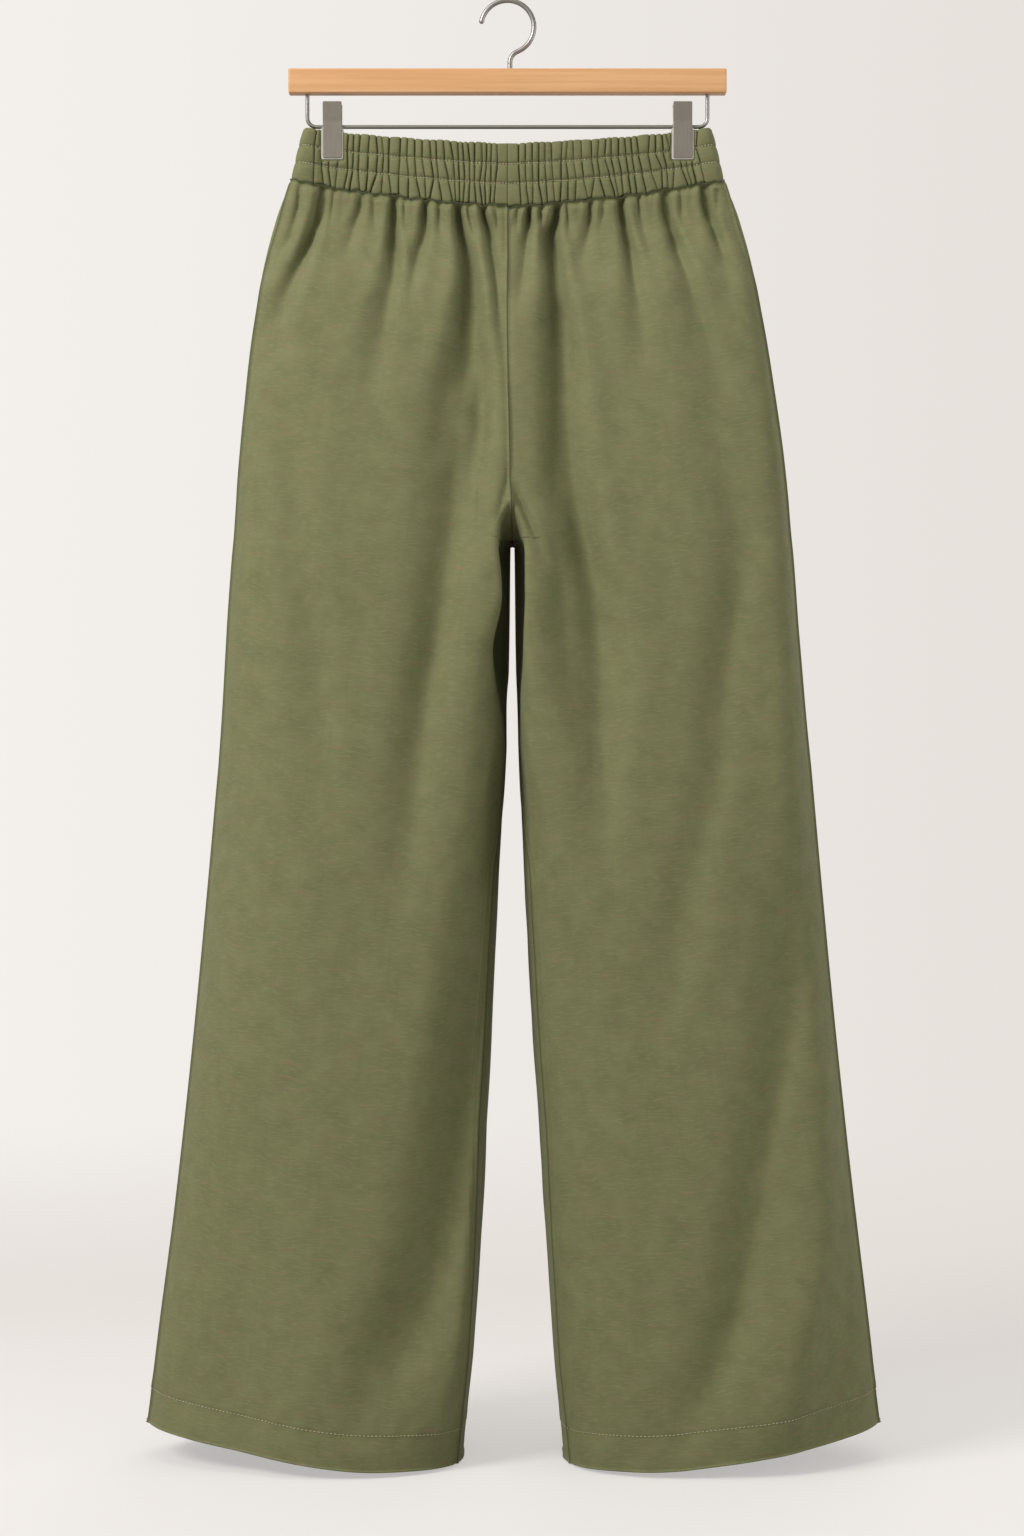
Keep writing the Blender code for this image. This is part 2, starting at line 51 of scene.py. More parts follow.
# ---- Studio ------------------------------------------------------------------------------
# A pale seamless room, a little brighter on the left: a matt floor just under the hems that
# fades into the surround and, seen from the camera, partly glows with painted light that darkens
# behind the garment as painted shade; one wide soft window on the left, and weaker ones elsewhere.
# The camera stands level with the middle of the legs, as the photographer's did.
PICTURE_HEIGHT = 1.2288         # metres of the garment's middle plane from edge to edge
CAMERA_DISTANCE = 2.6
CAMERA_AIM = Vector((0.0036, 0.0, -0.612))
LAMP_AIM = Vector((0.0, 0.0, -0.55))
FLOOR_HEIGHT = -1.1600
FLOOR_RADIUS = 9.0
FLOOR_FADE = (0.35, 2.6)        # metres from the middle over which the floor fades out
FLOOR_PAPER = (0.83, 0.80, 0.775)
FLOOR_GLOW = 0.50               # share of the floor's look that shadows don't touch
FLOOR_BOUNCE = (0.42, 0.41, 0.39)
# Colours of the floor's painted glow: brighter in front, darkening as painted shade over
# FLOOR_DEPTH behind the garment.
FLOOR_NEAR, FLOOR_FAR = (0.932, 0.904, 0.886), (0.775, 0.73, 0.70)
FLOOR_DEPTH = 0.9               # metres behind the garment over which it darkens
SURROUND_LEFT = (0.902, 0.868, 0.838)
SURROUND_RIGHT = (0.795, 0.755, 0.715)
SURROUND_TURN = 0.2             # sideways part of the direction over which it darkens
SURROUND_GLOW = 0.50            # how strongly the surround lights the cloth
Lamp = namedtuple("Lamp", "name place size power colour")
LAMPS = [
    Lamp("window", (-2.3, -2.05, 1.45), 1.3, 97.0, (1.0, 0.985, 0.96)),
    Lamp("fill", (3.0, -0.9, -0.2), 1.6, 24.0, (1.0, 0.99, 0.98)),
    Lamp("top", (-0.3, -0.5, 1.7), 1.2, 7.0, (1.0, 0.99, 0.97)),
    Lamp("back_window", (0.9, 3.1, 0.9), 2.6, 32.0, (1.0, 0.985, 0.96)),
]

camera_data = bpy.data.cameras.new("camera")
camera_data.sensor_width = 36.0
camera_data.lens = camera_data.sensor_width * CAMERA_DISTANCE / PICTURE_HEIGHT
camera = bpy.data.objects.new("camera", camera_data)
camera.location = CAMERA_AIM + Vector((0.0, -CAMERA_DISTANCE, 0.0))
camera.rotation_euler = (math.radians(90.0), 0.0, 0.0)
bpy.context.scene.collection.objects.link(camera)
bpy.context.scene.camera = camera
bpy.context.scene.view_settings.view_transform = "Standard"

for lamp in LAMPS:
    light = bpy.data.lights.new(lamp.name, "AREA")
    light.size = lamp.size
    light.energy = lamp.power
    light.color = lamp.colour
    holder = bpy.data.objects.new(lamp.name, light)
    holder.location = lamp.place
    aim = LAMP_AIM - holder.location
    holder.rotation_euler = aim.to_track_quat("-Z", "Y").to_euler()
    bpy.context.scene.collection.objects.link(holder)


def feed(tree, node, values):
    """Fills inputs by name or number. Plain values are set, outputs are linked, and a node
    stands for its first output."""
    for name, value in values.items():
        socket = node.inputs[name]
        if isinstance(value, bpy.types.Node):
            value = value.outputs[0]
        if isinstance(value, bpy.types.NodeSocket):
            tree.links.new(value, socket)
        elif socket.type == "RGBA":
            socket.default_value = (*value, 1.0)
        else:
            socket.default_value = value


def add_node(tree, kind, values=None, **settings):
    node = tree.nodes.new(kind)
    for name, setting in settings.items():
        setattr(node, name, setting)
    feed(tree, node, values or {})
    return node


def add_math(tree, operation, *values):
    return add_node(tree, "ShaderNodeMath", dict(enumerate(values)), operation=operation)


def mix_colours(tree, share, first, second):
    mix = add_node(tree, "ShaderNodeMix", {"Factor": share, 6: first, 7: second},
                   data_type="RGBA")
    return mix.outputs[2]


def mix_shaders(tree, share, first, second):
    return add_node(tree, "ShaderNodeMixShader", {"Fac": share, 1: first, 2: second})


def between(tree, value, low, high):
    """Goes evenly from low to high as the value goes from 0 to 1."""
    return add_node(tree, "ShaderNodeMapRange", {"Value": value, "To Min": low, "To Max": high})


def eased(tree, value, start, end, most=1.0):
    """Rises smoothly from 0 to most as the value goes from start to end."""
    return add_node(tree, "ShaderNodeMapRange",
                    {"Value": value, "From Min": start, "From Max": end, "To Max": most},
                    interpolation_type="SMOOTHSTEP")


def new_material(name, values):
    """A material whose Principled BSDF has these even values on its own sockets."""
    material = bpy.data.materials.new(name)
    material.use_nodes = True
    tree = material.node_tree
    shader = tree.nodes["Principled BSDF"]
    feed(tree, shader, values)
    return material, tree, shader


surround = bpy.data.worlds.new("surround")
surround.use_nodes = True
bpy.context.scene.world = surround
tree = surround.node_tree
direction = add_node(tree, "ShaderNodeTexCoord").outputs["Generated"]
sideways = add_node(tree, "ShaderNodeSeparateXYZ", {"Vector": direction}).outputs["X"]
turned = eased(tree, sideways, -SURROUND_TURN, SURROUND_TURN)
camera_ray = add_node(tree, "ShaderNodeLightPath").outputs["Is Camera Ray"]
feed(tree, tree.nodes["Background"],
     {"Color": mix_colours(tree, turned, SURROUND_LEFT, SURROUND_RIGHT),
      "Strength": between(tree, camera_ray, SURROUND_GLOW, 1.0)})

bpy.ops.mesh.primitive_circle_add(vertices=96, radius=FLOOR_RADIUS, fill_type="NGON",
                                  location=(0.0, 0.0, FLOOR_HEIGHT))
floor = bpy.context.object
floor.name = "floor"
floor_finish, tree, shader = new_material("floor_paper", {
    "Base Color": FLOOR_PAPER, "Roughness": 0.85, "Specular IOR Level": 0.1})
place = add_node(tree, "ShaderNodeTexCoord").outputs["Object"]
behind = add_node(tree, "ShaderNodeSeparateXYZ", {"Vector": place}).outputs["Y"]
# Painted light: seen from the camera the floor partly glows, which softens its shadows, and the
# glow darkens behind the garment as painted shade.
painted_floor_glow = mix_colours(tree, eased(tree, behind, 0.0, FLOOR_DEPTH), FLOOR_NEAR, FLOOR_FAR)
even = add_node(tree, "ShaderNodeEmission", {"Color": painted_floor_glow})
bounce = add_node(tree, "ShaderNodeBsdfDiffuse", {"Color": FLOOR_BOUNCE})
camera_ray = add_node(tree, "ShaderNodeLightPath").outputs["Is Camera Ray"]
seen = mix_shaders(tree, camera_ray, bounce, mix_shaders(tree, FLOOR_GLOW, shader, even))
reach = add_node(tree, "ShaderNodeVectorMath", {0: place}, operation="LENGTH").outputs["Value"]
clear = add_node(tree, "ShaderNodeBsdfTransparent")
feed(tree, tree.nodes["Material Output"],
     {"Surface": mix_shaders(tree, eased(tree, reach, *FLOOR_FADE), seen, clear)})
floor.data.materials.append(floor_finish)


# ---- Leg panels ----------------------------------------------------------------------------
# Four long panels of a plain-woven viscose and linen blend, two in front and two behind,
# sewn at the centre seams, side seams and inseams, gathered into the band at the top and
# turned up 30 mm at the hem. Clipped by the band, they hang open as wide round legs.
FRONT, BACK = -1, 1
LEFT, RIGHT = -1, 1
QUARTERS = [(LEFT, FRONT, "front_left"), (LEFT, BACK, "back_left"),
            (RIGHT, FRONT, "front_right"), (RIGHT, BACK, "back_right")]
CLOTH_THICK = 0.9
SEAM_CLOSE = 0.01               # half of the gap left in a sewn seam
SEAM_LEVEL = 165.1              # waist seam, at the centre front, below the hook's bend
SEAM_LIFT = 22.7                # it sags between the clips
SAG_POWER = 1.4
SAG_FADE = 170.0                # the sag is gone this far below the seam
WAIST_FADE = 80.0               # and the flat shape of the band this far below it
RUCK_FADE = 5.0
CROTCH_LEVEL = 434.0
HEM_LEVEL = 1165.0
HEM_LIFT = 33.0                 # the hem rises to the side seam, and a little at the inseam
INSEAM_LIFT, INSEAM_LIFT_REACH = 6.0, 95.0
HEM_HEIGHT = 30.0
HEM_STITCH = 1.6                # the hem's stitches run this far below its turned-in edge
CENTRE_DRIFT = 4.0              # the legs part a little right of the waist's middle
RISE_FRONT, RISE_BACK = 30.0, 75.0      # height of the crotch curve in front and behind
CLIP_X = 140.0
CLIP_WIDTH = 16.4
CLIP_BOTTOM_LEVEL = 125.3
BAND_WALL = 2.8
PINCH_GAP = 0.15                # half of the room left inside the band at a clip
PINCH_FLAT = 10.0               # the band is pressed flat this far from a clip's middle
BAND_BOW = 12.0                 # it bows out between the clips, and bulges beyond them
END_BULGE = 2.6
END_ROUND = 6.0
SIDE_TUCK = 0.93                # the side is drawn in beyond this share of the half-width

# Half-widths from the centre line and depths from the middle plane, in mm by level. Powers
# shape a leg's section towards the side: 2 is an ellipse, more is squarer, less is sharper.
Section = namedtuple("Section", "level outer front back side_power")
SECTIONS = [
    Section(142, 173.2, 12.0, 13.0, 2.6),
    Section(153, 178.0, 14.5, 16.0, 2.6),
    Section(190, 190.0, 27.0, 31.0, 2.6),
    Section(254, 203.5, 45.0, 54.0, 2.6),
    Section(318, 212.5, 58.0, 69.0, 2.6),
    Section(380, 219.0, 68.0, 79.0, 2.6),
    Section(436, 223.5, 75.0, 85.0, 2.5),
    Section(440, 223.9, 75.4, 85.4, 2.5),
    Section(450, 224.7, 76.2, 86.2, 2.5),
    Section(510, 229.0, 80.0, 89.0, 2.4),
    Section(574, 233.6, 84.0, 91.0, 2.3),
    Section(638, 239.2, 87.0, 93.0, 2.2),
    Section(702, 244.8, 89.0, 94.0, 2.1),
    Section(830, 257.0, 92.0, 95.0, 2.0),
    Section(958, 271.2, 95.0, 97.0, 1.9),
    Section(1086, 287.2, 97.0, 99.0, 1.8),
    Section(1132, 292.8, 98.0, 100.0, 1.7),
    Section(1166, 297.0, 98.0, 100.0, 1.7),
]

# Folds hang from the waist seam or lower down: each is a trough through knots of x from the
# middle, level, depth and width, in mm. Its left flank is the longer one.
Knot = namedtuple("Knot", "x level depth width")


def fold(*knots):
    return [Knot(*knot) for knot in knots]


FRONT_FOLDS = [
    fold((-146, 138, 9, 3), (-150.5, 172, 13.6, 4), (-156, 190, 12.4, 5), (-166.5, 219, 8, 7),
         (-176, 243, 6, 9.5), (-185, 276, 3, 12), (-190, 315, 0, 14)),
    fold((-90, 140, 11, 2.6), (-90.5, 172, 13, 3.2), (-90.5, 196, 11.5, 4.6), (-90, 219, 9, 6.5),
         (-94.5, 246, 6.5, 8.5), (-100, 280, 4, 11), (-109, 330, 0, 14)),
    fold((-65, 145, 9, 2.4), (-65.5, 172, 10, 3), (-66, 186, 7.2, 3.8), (-70.5, 204, 5.4, 5),
         (-74.5, 223, 4.4, 6), (-80, 262, 0, 8)),
    fold((-39, 150, 12, 2.6), (-38.5, 172, 14, 3.2), (-36.3, 186, 14, 4), (-32.5, 201, 15, 5),
         (-29.5, 221, 15.5, 6.5), (-29, 245, 13.5, 8.5), (-30, 275, 6, 11), (-36, 325, 0, 14)),
    fold((-20, 150, 8, 2.4), (-18.5, 172, 10, 2.8), (-14.6, 185, 9, 3.4), (-12.5, 200, 6.6, 4),
         (-9.5, 220, 6, 4.6), (-7, 244, 5, 5), (-5, 277, 3.4, 6), (-3.5, 345, 0, 6)),
    fold((18, 150, 9, 2.4), (17.5, 172, 11, 2.8), (16.4, 184, 6.2, 3.6), (15, 199, 3.8, 4.4),
         (12.5, 220, 3.6, 5), (9.5, 250, 0, 6)),
    fold((39.5, 150, 12, 2.6), (39, 172, 14, 3.4), (35.8, 186, 14, 4.6), (36.5, 201, 15, 6),
         (38, 221, 15, 7), (40.5, 247, 13.5, 9), (44, 285, 5, 12), (46, 325, 0, 15)),
    fold((66, 145, 6, 2.4), (65.6, 172, 6.2, 2.8), (64.5, 185, 4.4, 4), (61, 201, 2.6, 5),
         (58, 225, 0, 7)),
    fold((91.5, 140, 10, 2.5), (92, 172, 12, 3.2), (94.6, 186, 12, 3.8), (97.5, 200, 10.5, 4.6),
         (100, 220, 8, 6), (103, 245, 5, 8), (106, 282, 2.4, 11), (110, 325, 0, 13)),
    fold((126, 140, 9, 2.8), (127.8, 172, 12, 3.6), (132, 186, 12.6, 4.4), (136, 201, 9, 5.6),
         (141.5, 220, 7.4, 7.5), (148, 246, 6, 10), (158, 281, 4, 12), (170, 330, 0, 14)),
    fold((156, 135, 8, 3), (160.5, 170, 13, 3.6), (165.5, 185, 9.8, 4.4), (169.5, 200, 5.6, 6),
         (173.5, 223, 3.4, 8), (178, 265, 0, 10)),
    fold((-166, 135, 4, 2.6), (-167, 165, 4.4, 3), (-173, 190, 4, 4.4), (-178, 212, 0, 6)),
    fold((-139, 140, 4, 2.2), (-140.5, 168, 3.4, 2.6), (-144, 192, 0, 4)),
    fold((-116, 140, 4, 2.5), (-117.5, 165, 5, 3.2), (-123, 184, 4.2, 4.4), (-129, 214, 0, 7)),
    fold((-106, 140, 3, 2), (-106.5, 168, 2.4, 2.4), (-105, 190, 0, 3.6)),
    fold((-83, 140, 3, 2), (-82.5, 170, 3.2, 2.4), (-81, 192, 0, 3.6)),
    fold((-54.5, 145, 3, 2), (-54, 172, 2.6, 2.4), (-53.5, 194, 0, 3.6)),
    fold((-32, 150, 5, 1.8), (-31, 170, 5, 2.2), (-27.5, 185, 3, 2.8), (-25, 240, 0, 4)),
    fold((-8.5, 150, 2, 1.8), (-8, 184, 1.6, 2.2), (-6.5, 200, 0, 3)),
    fold((8, 150, 3, 1.8), (8, 172, 3.4, 2.2), (7.8, 190, 0, 3)),
    fold((27, 150, 5, 2), (27, 170, 4.6, 2.4), (28.5, 190, 2.4, 3.4), (29.5, 215, 0, 4.4)),
    fold((47, 150, 4, 2), (47.5, 170, 4.4, 2.4), (49.5, 192, 0, 3.6)),
    fold((77, 145, 3, 2), (76, 170, 2.2, 2.4), (71, 195, 0, 4)),
    fold((104, 140, 4, 2), (105.5, 168, 4, 2.6), (109, 186, 2.4, 3.6), (115, 212, 0, 5)),
    fold((138, 140, 2, 2), (139, 170, 2, 2.6), (140, 186, 0, 4)),
    fold((167, 150, 2.4, 2.6), (168, 184, 2.4, 3), (174, 208, 0, 5)),
    fold((-26, 225, 0, 9), (-29, 270, 5.5, 12), (-36, 308, 9.6, 15), (-41, 348, 10, 17),
         (-44, 388, 10, 17), (-46, 427, 9.6, 17), (-50, 466, 9, 16),
         (-55, 513, 9.6, 15), (-63, 559, 8.6, 15), (-71, 621, 6.6, 15), (-78, 683, 4, 15),
         (-84, 740, 0, 15)),
    fold((-21, 265, 0, 6), (-20, 312, 12, 8.5), (-21, 350, 12, 9.5), (-25, 388, 8, 11.5),
         (-26, 427, 5, 13), (-31, 462, 0, 13)),
    fold((40, 235, 0, 9), (43, 276, 6.6, 13), (45, 308, 11, 14), (47.5, 348, 12.5, 14),
         (51, 388, 13, 15), (58, 427, 14.5, 15), (66, 466, 14.5, 19), (70, 513, 14.6, 23),
         (72, 560, 13.4, 21), (73.5, 621, 7.6, 16), (75, 705, 0, 15)),
    fold((38, 300, 0, 7), (37, 348, 2.4, 7), (36, 388, 3, 8), (38, 427, 0, 8)),
    fold((34, 425, 0, 8), (40, 466, 4, 10), (43, 513, 3.6, 11), (47, 560, 1.6, 12),
         (56, 610, 0, 12)),
    fold((5, 388, 0, 3), (9, 402, 3.6, 3.4), (16, 418, 5, 3.8), (24, 438, 3.6, 4.8),
         (31, 462, 0, 6)),
    fold((1, 372, 0, 3), (-1, 392, 2, 3), (-5, 408, 2, 3), (-10, 424, 0, 3.4)),
    fold((-23.3, 366, 0, 2), (-23.9, 388, -1.2, 2), (-25.6, 412, -1.2, 2), (-27, 436, 0, 2.4)),
    fold((-172, 300, 0, 12), (-169, 348, 2.8, 13), (-168, 388, 3.2, 13), (-164, 427, 3.4, 14),
         (-160, 466, 3, 14), (-150, 513, 4, 14), (-146, 560, 4, 14), (-144, 621, 2, 15),
         (-140, 690, 0, 16)),
    fold((-140, 690, 0, 18), (-118, 752, 2.2, 19), (-108, 830, 0, 20)),
    fold((160, 300, 0, 13), (163, 348, 2.6, 14), (171, 388, 2.8, 14), (180, 427, 3.2, 14),
         (180, 466, 3.6, 14), (173, 513, 4.2, 14), (167, 560, 4.6, 15), (161, 621, 4.4, 15),
         (147, 683, 4.4, 16), (134, 752, 3.8, 17), (116, 840, 0, 18)),
    fold((182, 205, 0, 12), (192, 243, -4, 14), (200, 276, -5, 17), (204, 308, -6, 16),
         (209, 348, -7, 16), (213, 388, -7, 16), (217, 427, -8, 17), (219, 466, -9.5, 18),
         (221, 513, -11, 19), (222, 560, -12, 20), (222, 621, -11, 20), (226, 683, -9, 20),
         (236, 752, -4, 20), (242, 800, 0, 20)),
    fold((246, 770, 0, 16), (251, 830, -8, 19), (252, 906, -12, 22), (246, 983, -13, 23),
         (228, 1060, -12, 23), (216, 1120, -7, 23), (208, 1155, 0, 23)),
    fold((224, 620, 0, 12), (224, 683, 2, 14), (220, 752, 4.5, 15),
         (212, 830, 6, 15), (200, 906, 6, 16), (187, 983, 6.4, 17), (170, 1060, 6, 18),
         (150, 1105, 3.6, 18), (134, 1145, 0, 18)),
    fold((26, 690, 0, 10), (44, 745, 2.4, 14), (66, 820, 2.2, 16), (86, 900, 0, 18)),
    fold((-3, 478, 0, 6), (-8, 513, 4, 6.5), (-9, 559, 6, 9), (-9, 621, 8, 10.5),
         (-11, 683, 10, 12), (-14, 752, 12, 15), (-25, 830, 11.5, 18), (-40, 906, 10, 19),
         (-55, 983, 9, 20), (-81, 1060, 9.4, 24), (-98, 1104, 4, 24), (-108, 1140, 0, 24)),
    fold((-10, 660, 0, 9), (-11, 715, -7, 11), (-12, 752, -12, 13), (-15, 830, -11, 13),
         (-19, 906, -10, 12), (-22, 983, -9, 12.5), (-29, 1060, -11, 14),
         (-38, 1108, -7, 16), (-46, 1145, 0, 18)),
    fold((-196, 840, 0, 40), (-202, 930, 5, 44), (-206, 1030, 8.5, 46), (-210, 1110, 9, 46),
         (-212, 1166, 8, 46)),
]
BACK_FOLDS = [
    fold((-148, 138, 7, 4), (-152, 172, 9, 5), (-160, 198, 7, 7), (-172, 232, 4, 10),
         (-184, 280, 0, 14)),
    fold((-112, 140, 7, 3.5), (-114, 174, 10, 4.5), (-117, 202, 7, 6.5), (-122, 236, 4, 10),
         (-131, 300, 0, 14)),
    fold((-84, 142, 6, 3), (-85, 172, 8, 4), (-88, 196, 4.6, 5.5), (-93, 240, 0, 9)),
    fold((-48, 148, 9, 3.5), (-49, 172, 11, 4), (-51, 198, 11, 7), (-54, 232, 9, 11),
         (-60, 280, 5, 16), (-68, 330, 0, 20)),
    fold((-22, 150, 6, 3), (-22, 174, 8, 3.5), (-19, 200, 5, 5.5), (-15, 240, 2.6, 6.5),
         (-11, 300, 0, 7)),
    fold((20, 150, 6, 3), (21, 172, 8, 3.5), (20, 196, 5, 5), (17, 232, 2.6, 6.5),
         (14, 290, 0, 7)),
    fold((44, 148, 9, 3.5), (45, 174, 11, 4.5), (47, 200, 11, 7), (52, 236, 9, 11),
         (60, 284, 5, 16), (68, 335, 0, 20)),
    fold((78, 142, 6, 3), (79, 172, 8, 4), (82, 198, 5, 5.5), (88, 246, 0, 9)),
    fold((108, 140, 8, 3.5), (110, 174, 10, 4.5), (114, 202, 7, 6.5), (121, 240, 4, 10),
         (134, 305, 0, 14)),
    fold((146, 138, 7, 4), (151, 172, 9, 5), (160, 200, 6, 7), (172, 236, 3, 10),
         (182, 280, 0, 13)),
    fold((-132, 140, 3, 2.5), (-133, 170, 3.2, 3), (-136, 200, 0, 5)),
    fold((-99, 142, 3, 2.5), (-99, 172, 3.2, 3), (-97, 206, 0, 5)),
    fold((-66, 145, 4, 2.6), (-67, 172, 4, 3), (-70, 212, 0, 6)),
    fold((-35, 150, 3, 2.4), (-35, 174, 3, 3), (-33, 202, 0, 5)),
    fold((-8, 150, 1.6, 2), (-8, 176, 1.6, 2.5), (-7, 200, 0, 3)),
    fold((9, 150, 2, 2), (9, 176, 2, 2.5), (8, 205, 0, 3)),
    fold((32, 150, 3, 2.4), (32, 174, 3.2, 3), (35, 204, 0, 5)),
    fold((62, 146, 4, 2.6), (62, 172, 4, 3), (66, 214, 0, 6)),
    fold((94, 142, 3, 2.5), (94, 172, 3, 3), (97, 204, 0, 5)),
    fold((128, 140, 4, 2.6), (129, 170, 4, 3), (134, 208, 0, 6)),
    fold((-56, 245, 0, 12), (-64, 310, 8, 18), (-72, 380, 9, 21), (-80, 450, 8, 22),
         (-90, 540, 6, 22), (-98, 640, 0, 22)),
    fold((56, 250, 0, 12), (62, 310, 8, 18), (70, 380, 9, 22), (80, 460, 8, 24),
         (90, 560, 6, 24), (98, 660, 0, 22)),
    fold((-196, 380, 0, 14), (-188, 450, 4, 16), (-176, 560, 5, 18), (-162, 680, 4, 20),
         (-146, 800, 0, 22)),
    fold((194, 400, 0, 14), (186, 470, 4, 16), (176, 580, 5, 18), (166, 700, 4, 20),
         (152, 830, 0, 22)),
    fold((28, 600, 0, 12), (46, 720, 6, 18), (66, 850, 8, 24), (92, 980, 7, 28),
         (116, 1080, 4, 30), (132, 1140, 0, 30)),
    fold((-24, 620, 0, 12), (-40, 740, 5, 18), (-62, 860, 7, 24), (-88, 990, 6, 28),
         (-108, 1090, 3, 30), (-120, 1140, 0, 30)),
    fold((222, 700, 0, 15), (212, 800, 5, 18), (194, 920, 6, 21), (166, 1050, 5, 24),
         (142, 1145, 0, 24)),
    fold((-224, 720, 0, 15), (-214, 820, 5, 18), (-198, 940, 6, 21), (-174, 1060, 4, 24),
         (-154, 1145, 0, 24)),
]
RIDGE_SHARE = 0.16              # the cloth swells beside a trough by this share of its depth
FLANK_LEAN = 0.16               # how much longer a fold's left flank is than its right one
PLEAT_GAIN = 1.13               # how much deeper than listed the narrow pleats are,
DRAPE_GAIN = 1.35               # and the broad drapes lower down
BLOOM = 3.2                     # the gathered cloth swells out below the waist seam, mm
BLOOM_START, BLOOM_END = 4.0, 40.0

# Where the cross threads that carry the points lie: from each level, at this spacing.
RowStep = namedtuple("RowStep", "start spacing")
ROW_STEPS = [RowStep(SEAM_LEVEL, 0.4), RowStep(168.3, 1.0), RowStep(187, 2.4), RowStep(250, 4.5),
             RowStep(378, 2.4), RowStep(402, 1.2), RowStep(430, 0.5), RowStep(433, 0.2),
             RowStep(434, 1.3), RowStep(446, 2.4), RowStep(480, 7.0), RowStep(1118, 1.6),
             RowStep(1162, 0.6)]
EDGE_STEPS = [0.0, 0.3, 0.7, 1.2, 1.9, 2.8, 4.0, 5.6, 7.6]      # from a panel's seams
PANEL_COLUMNS = 112
CORNER_COLUMNS = 34             # between the inseam and where the even columns start,
COLUMNS_PIVOT = 27.0            # which is this far from the centre line

# The seams lie a little in front of the leg's edges: distance round the leg, by level.
SIDE_SEAM_FORWARD = [(165, 0.0), (170, 1.6), (185, 4.5), (215, 11.0), (260, 18.0), (320, 22.0),
                     (440, 24.0), (574, 22.0), (702, 19.0), (830, 17.5), (958, 16.0),
                     (1086, 14.5), (1166, 13.5)]
INSEAM_FORWARD = [(540, 0.0), (580, 14.0), (620, 34.0), (660, 52.0), (690, 58.0), (752, 53.0),
                  (830, 48.0), (906, 47.0), (983, 44.0), (1166, 44.0)]
# At the crotch the front turns in sharply, and its edge stands out from the gap behind it:
# the power of a leg's section towards the inseam, and how far each front edge stands out.
CORNER_POWER = [(165, 5.0), (375, 8.0), (398, 24.0), (410, 44.0), (480, 44.0), (520, 16.0),
                (560, 8.5), (600, 6.4), (638, 5.2), (702, 3.9), (760, 3.3), (830, 2.9),
                (958, 2.7), (1086, 2.8), (1166, 2.8)]
LEFT_CORNER = [(404, 0.0), (407, 2.0), (411, 5.4), (416, 8.4), (422, 10.4), (430, 11.3),
               (440, 11.3), (452, 9.8), (464, 8.5), (478, 8.1), (490, 9.2), (500, 11.4),
               (512, 13.6), (524, 13.6), (538, 12.0), (556, 9.4), (576, 6.8), (598, 5.6)]
RIGHT_CORNER = [(402, 0.0), (406, 1.6), (412, 3.6), (419, 6.0), (427, 7.9), (438, 9.0),
                (460, 9.2), (482, 9.4), (510, 8.2), (555, 6.2), (595, 5.7)]
# The gap between the legs and their outer edges, fitted to the outline of the real pair.
INNER_TRIM = {LEFT: [(900, 0.0), (950, 1.2), (1030, 2.2), (1166, 1.8)],
              RIGHT: [(600, 0.0), (660, 0.8), (720, 1.6), (800, 1.4), (860, 0.6), (900, 0.0)]}
INNER_EDGE = [(434.0, 0.0), (434.15, 2.0), (435.0, 2.7), (438, 2.8), (450, 3.0), (510, 3.6),
              (574, 4.8), (638, 7.6), (702, 10.8), (830, 16.8), (958, 24.4), (1086, 33.0),
              (1132, 38.0), (1166, 41.0)]
OUTER_SHIFT = [(165, 0.0), (200, 0.2), (240, 0.6), (280, 1.0), (320, 1.5), (360, 1.6),
               (400, 1.1), (434, 0.0), (500, 0.0), (620, 1.8), (1000, 1.8), (1166, 0.8)]
OUTER_TRIM = [(190, 0.0), (240, 0.3), (300, 0.6), (466, 1.0), (620, 0.9), (750, 0.4),
              (983, 0.4), (1060, 0.2), (1166, 0.0)]
# Beside the gap each leg is creased lengthwise and turns in from there: x and slope by level.
Turn = namedtuple("Turn", "level x slope")
INNER_TURNS = {LEFT: [Turn(545, 1, 0.0), Turn(590, 9.5, 0.5), Turn(621, 15.7, 0.8),
                      Turn(678, 27.3, 0.5), Turn(720, 36, 0.0)],
               RIGHT: [Turn(550, 8, 0.0), Turn(562, 10.2, 1.4), Turn(621, 23, 1.2),
                       Turn(671, 34.5, 0.5), Turn(700, 40, 0.0)]}
CORNER_FADE = 60.0              # the front edge's standing out is gone this far from it
CORNER_LIP = 0.35               # how much further out its very lip goes
CROTCH_SHELF = 0.28             # share of the depth that lies flat at the foot of the rise
CROTCH_FALL = 0.45              # less keeps the rise forward longer before it turns in
ARCH_POWER = 0.33               # the channel under the crotch: less is squarer, more a V


def smooth_step(value):
    t = np.clip(value, 0.0, 1.0)
    return t * t * (3.0 - 2.0 * t)


def smooth_curve(stations, values, at):
    """A smooth curve through values at stations, held level beyond the ends."""
    stations, values = np.array(stations, float), np.array(values, float)
    slopes = np.gradient(values, stations)
    at = np.clip(at, stations[0], stations[-1])
    i = np.clip(np.searchsorted(stations, at, side="right") - 1, 0, len(stations) - 2)
    step = stations[i + 1] - stations[i]
    t = (at - stations[i]) / step
    return ((2 * t**3 - 3 * t**2 + 1) * values[i] + (t**3 - 2 * t**2 + t) * step * slopes[i]
            + (3 * t**2 - 2 * t**3) * values[i + 1] + (t**3 - t**2) * step * slopes[i + 1])


def hump(distance, width):
    """1 in the middle of a seam, crease or row, falling to nothing on both sides."""
    return np.exp(-(distance / width) ** 2)


def section_value(field, level):
    """A column of SECTIONS at any level."""
    return smooth_curve([row.level for row in SECTIONS],
                        [getattr(row, field) for row in SECTIONS], level)


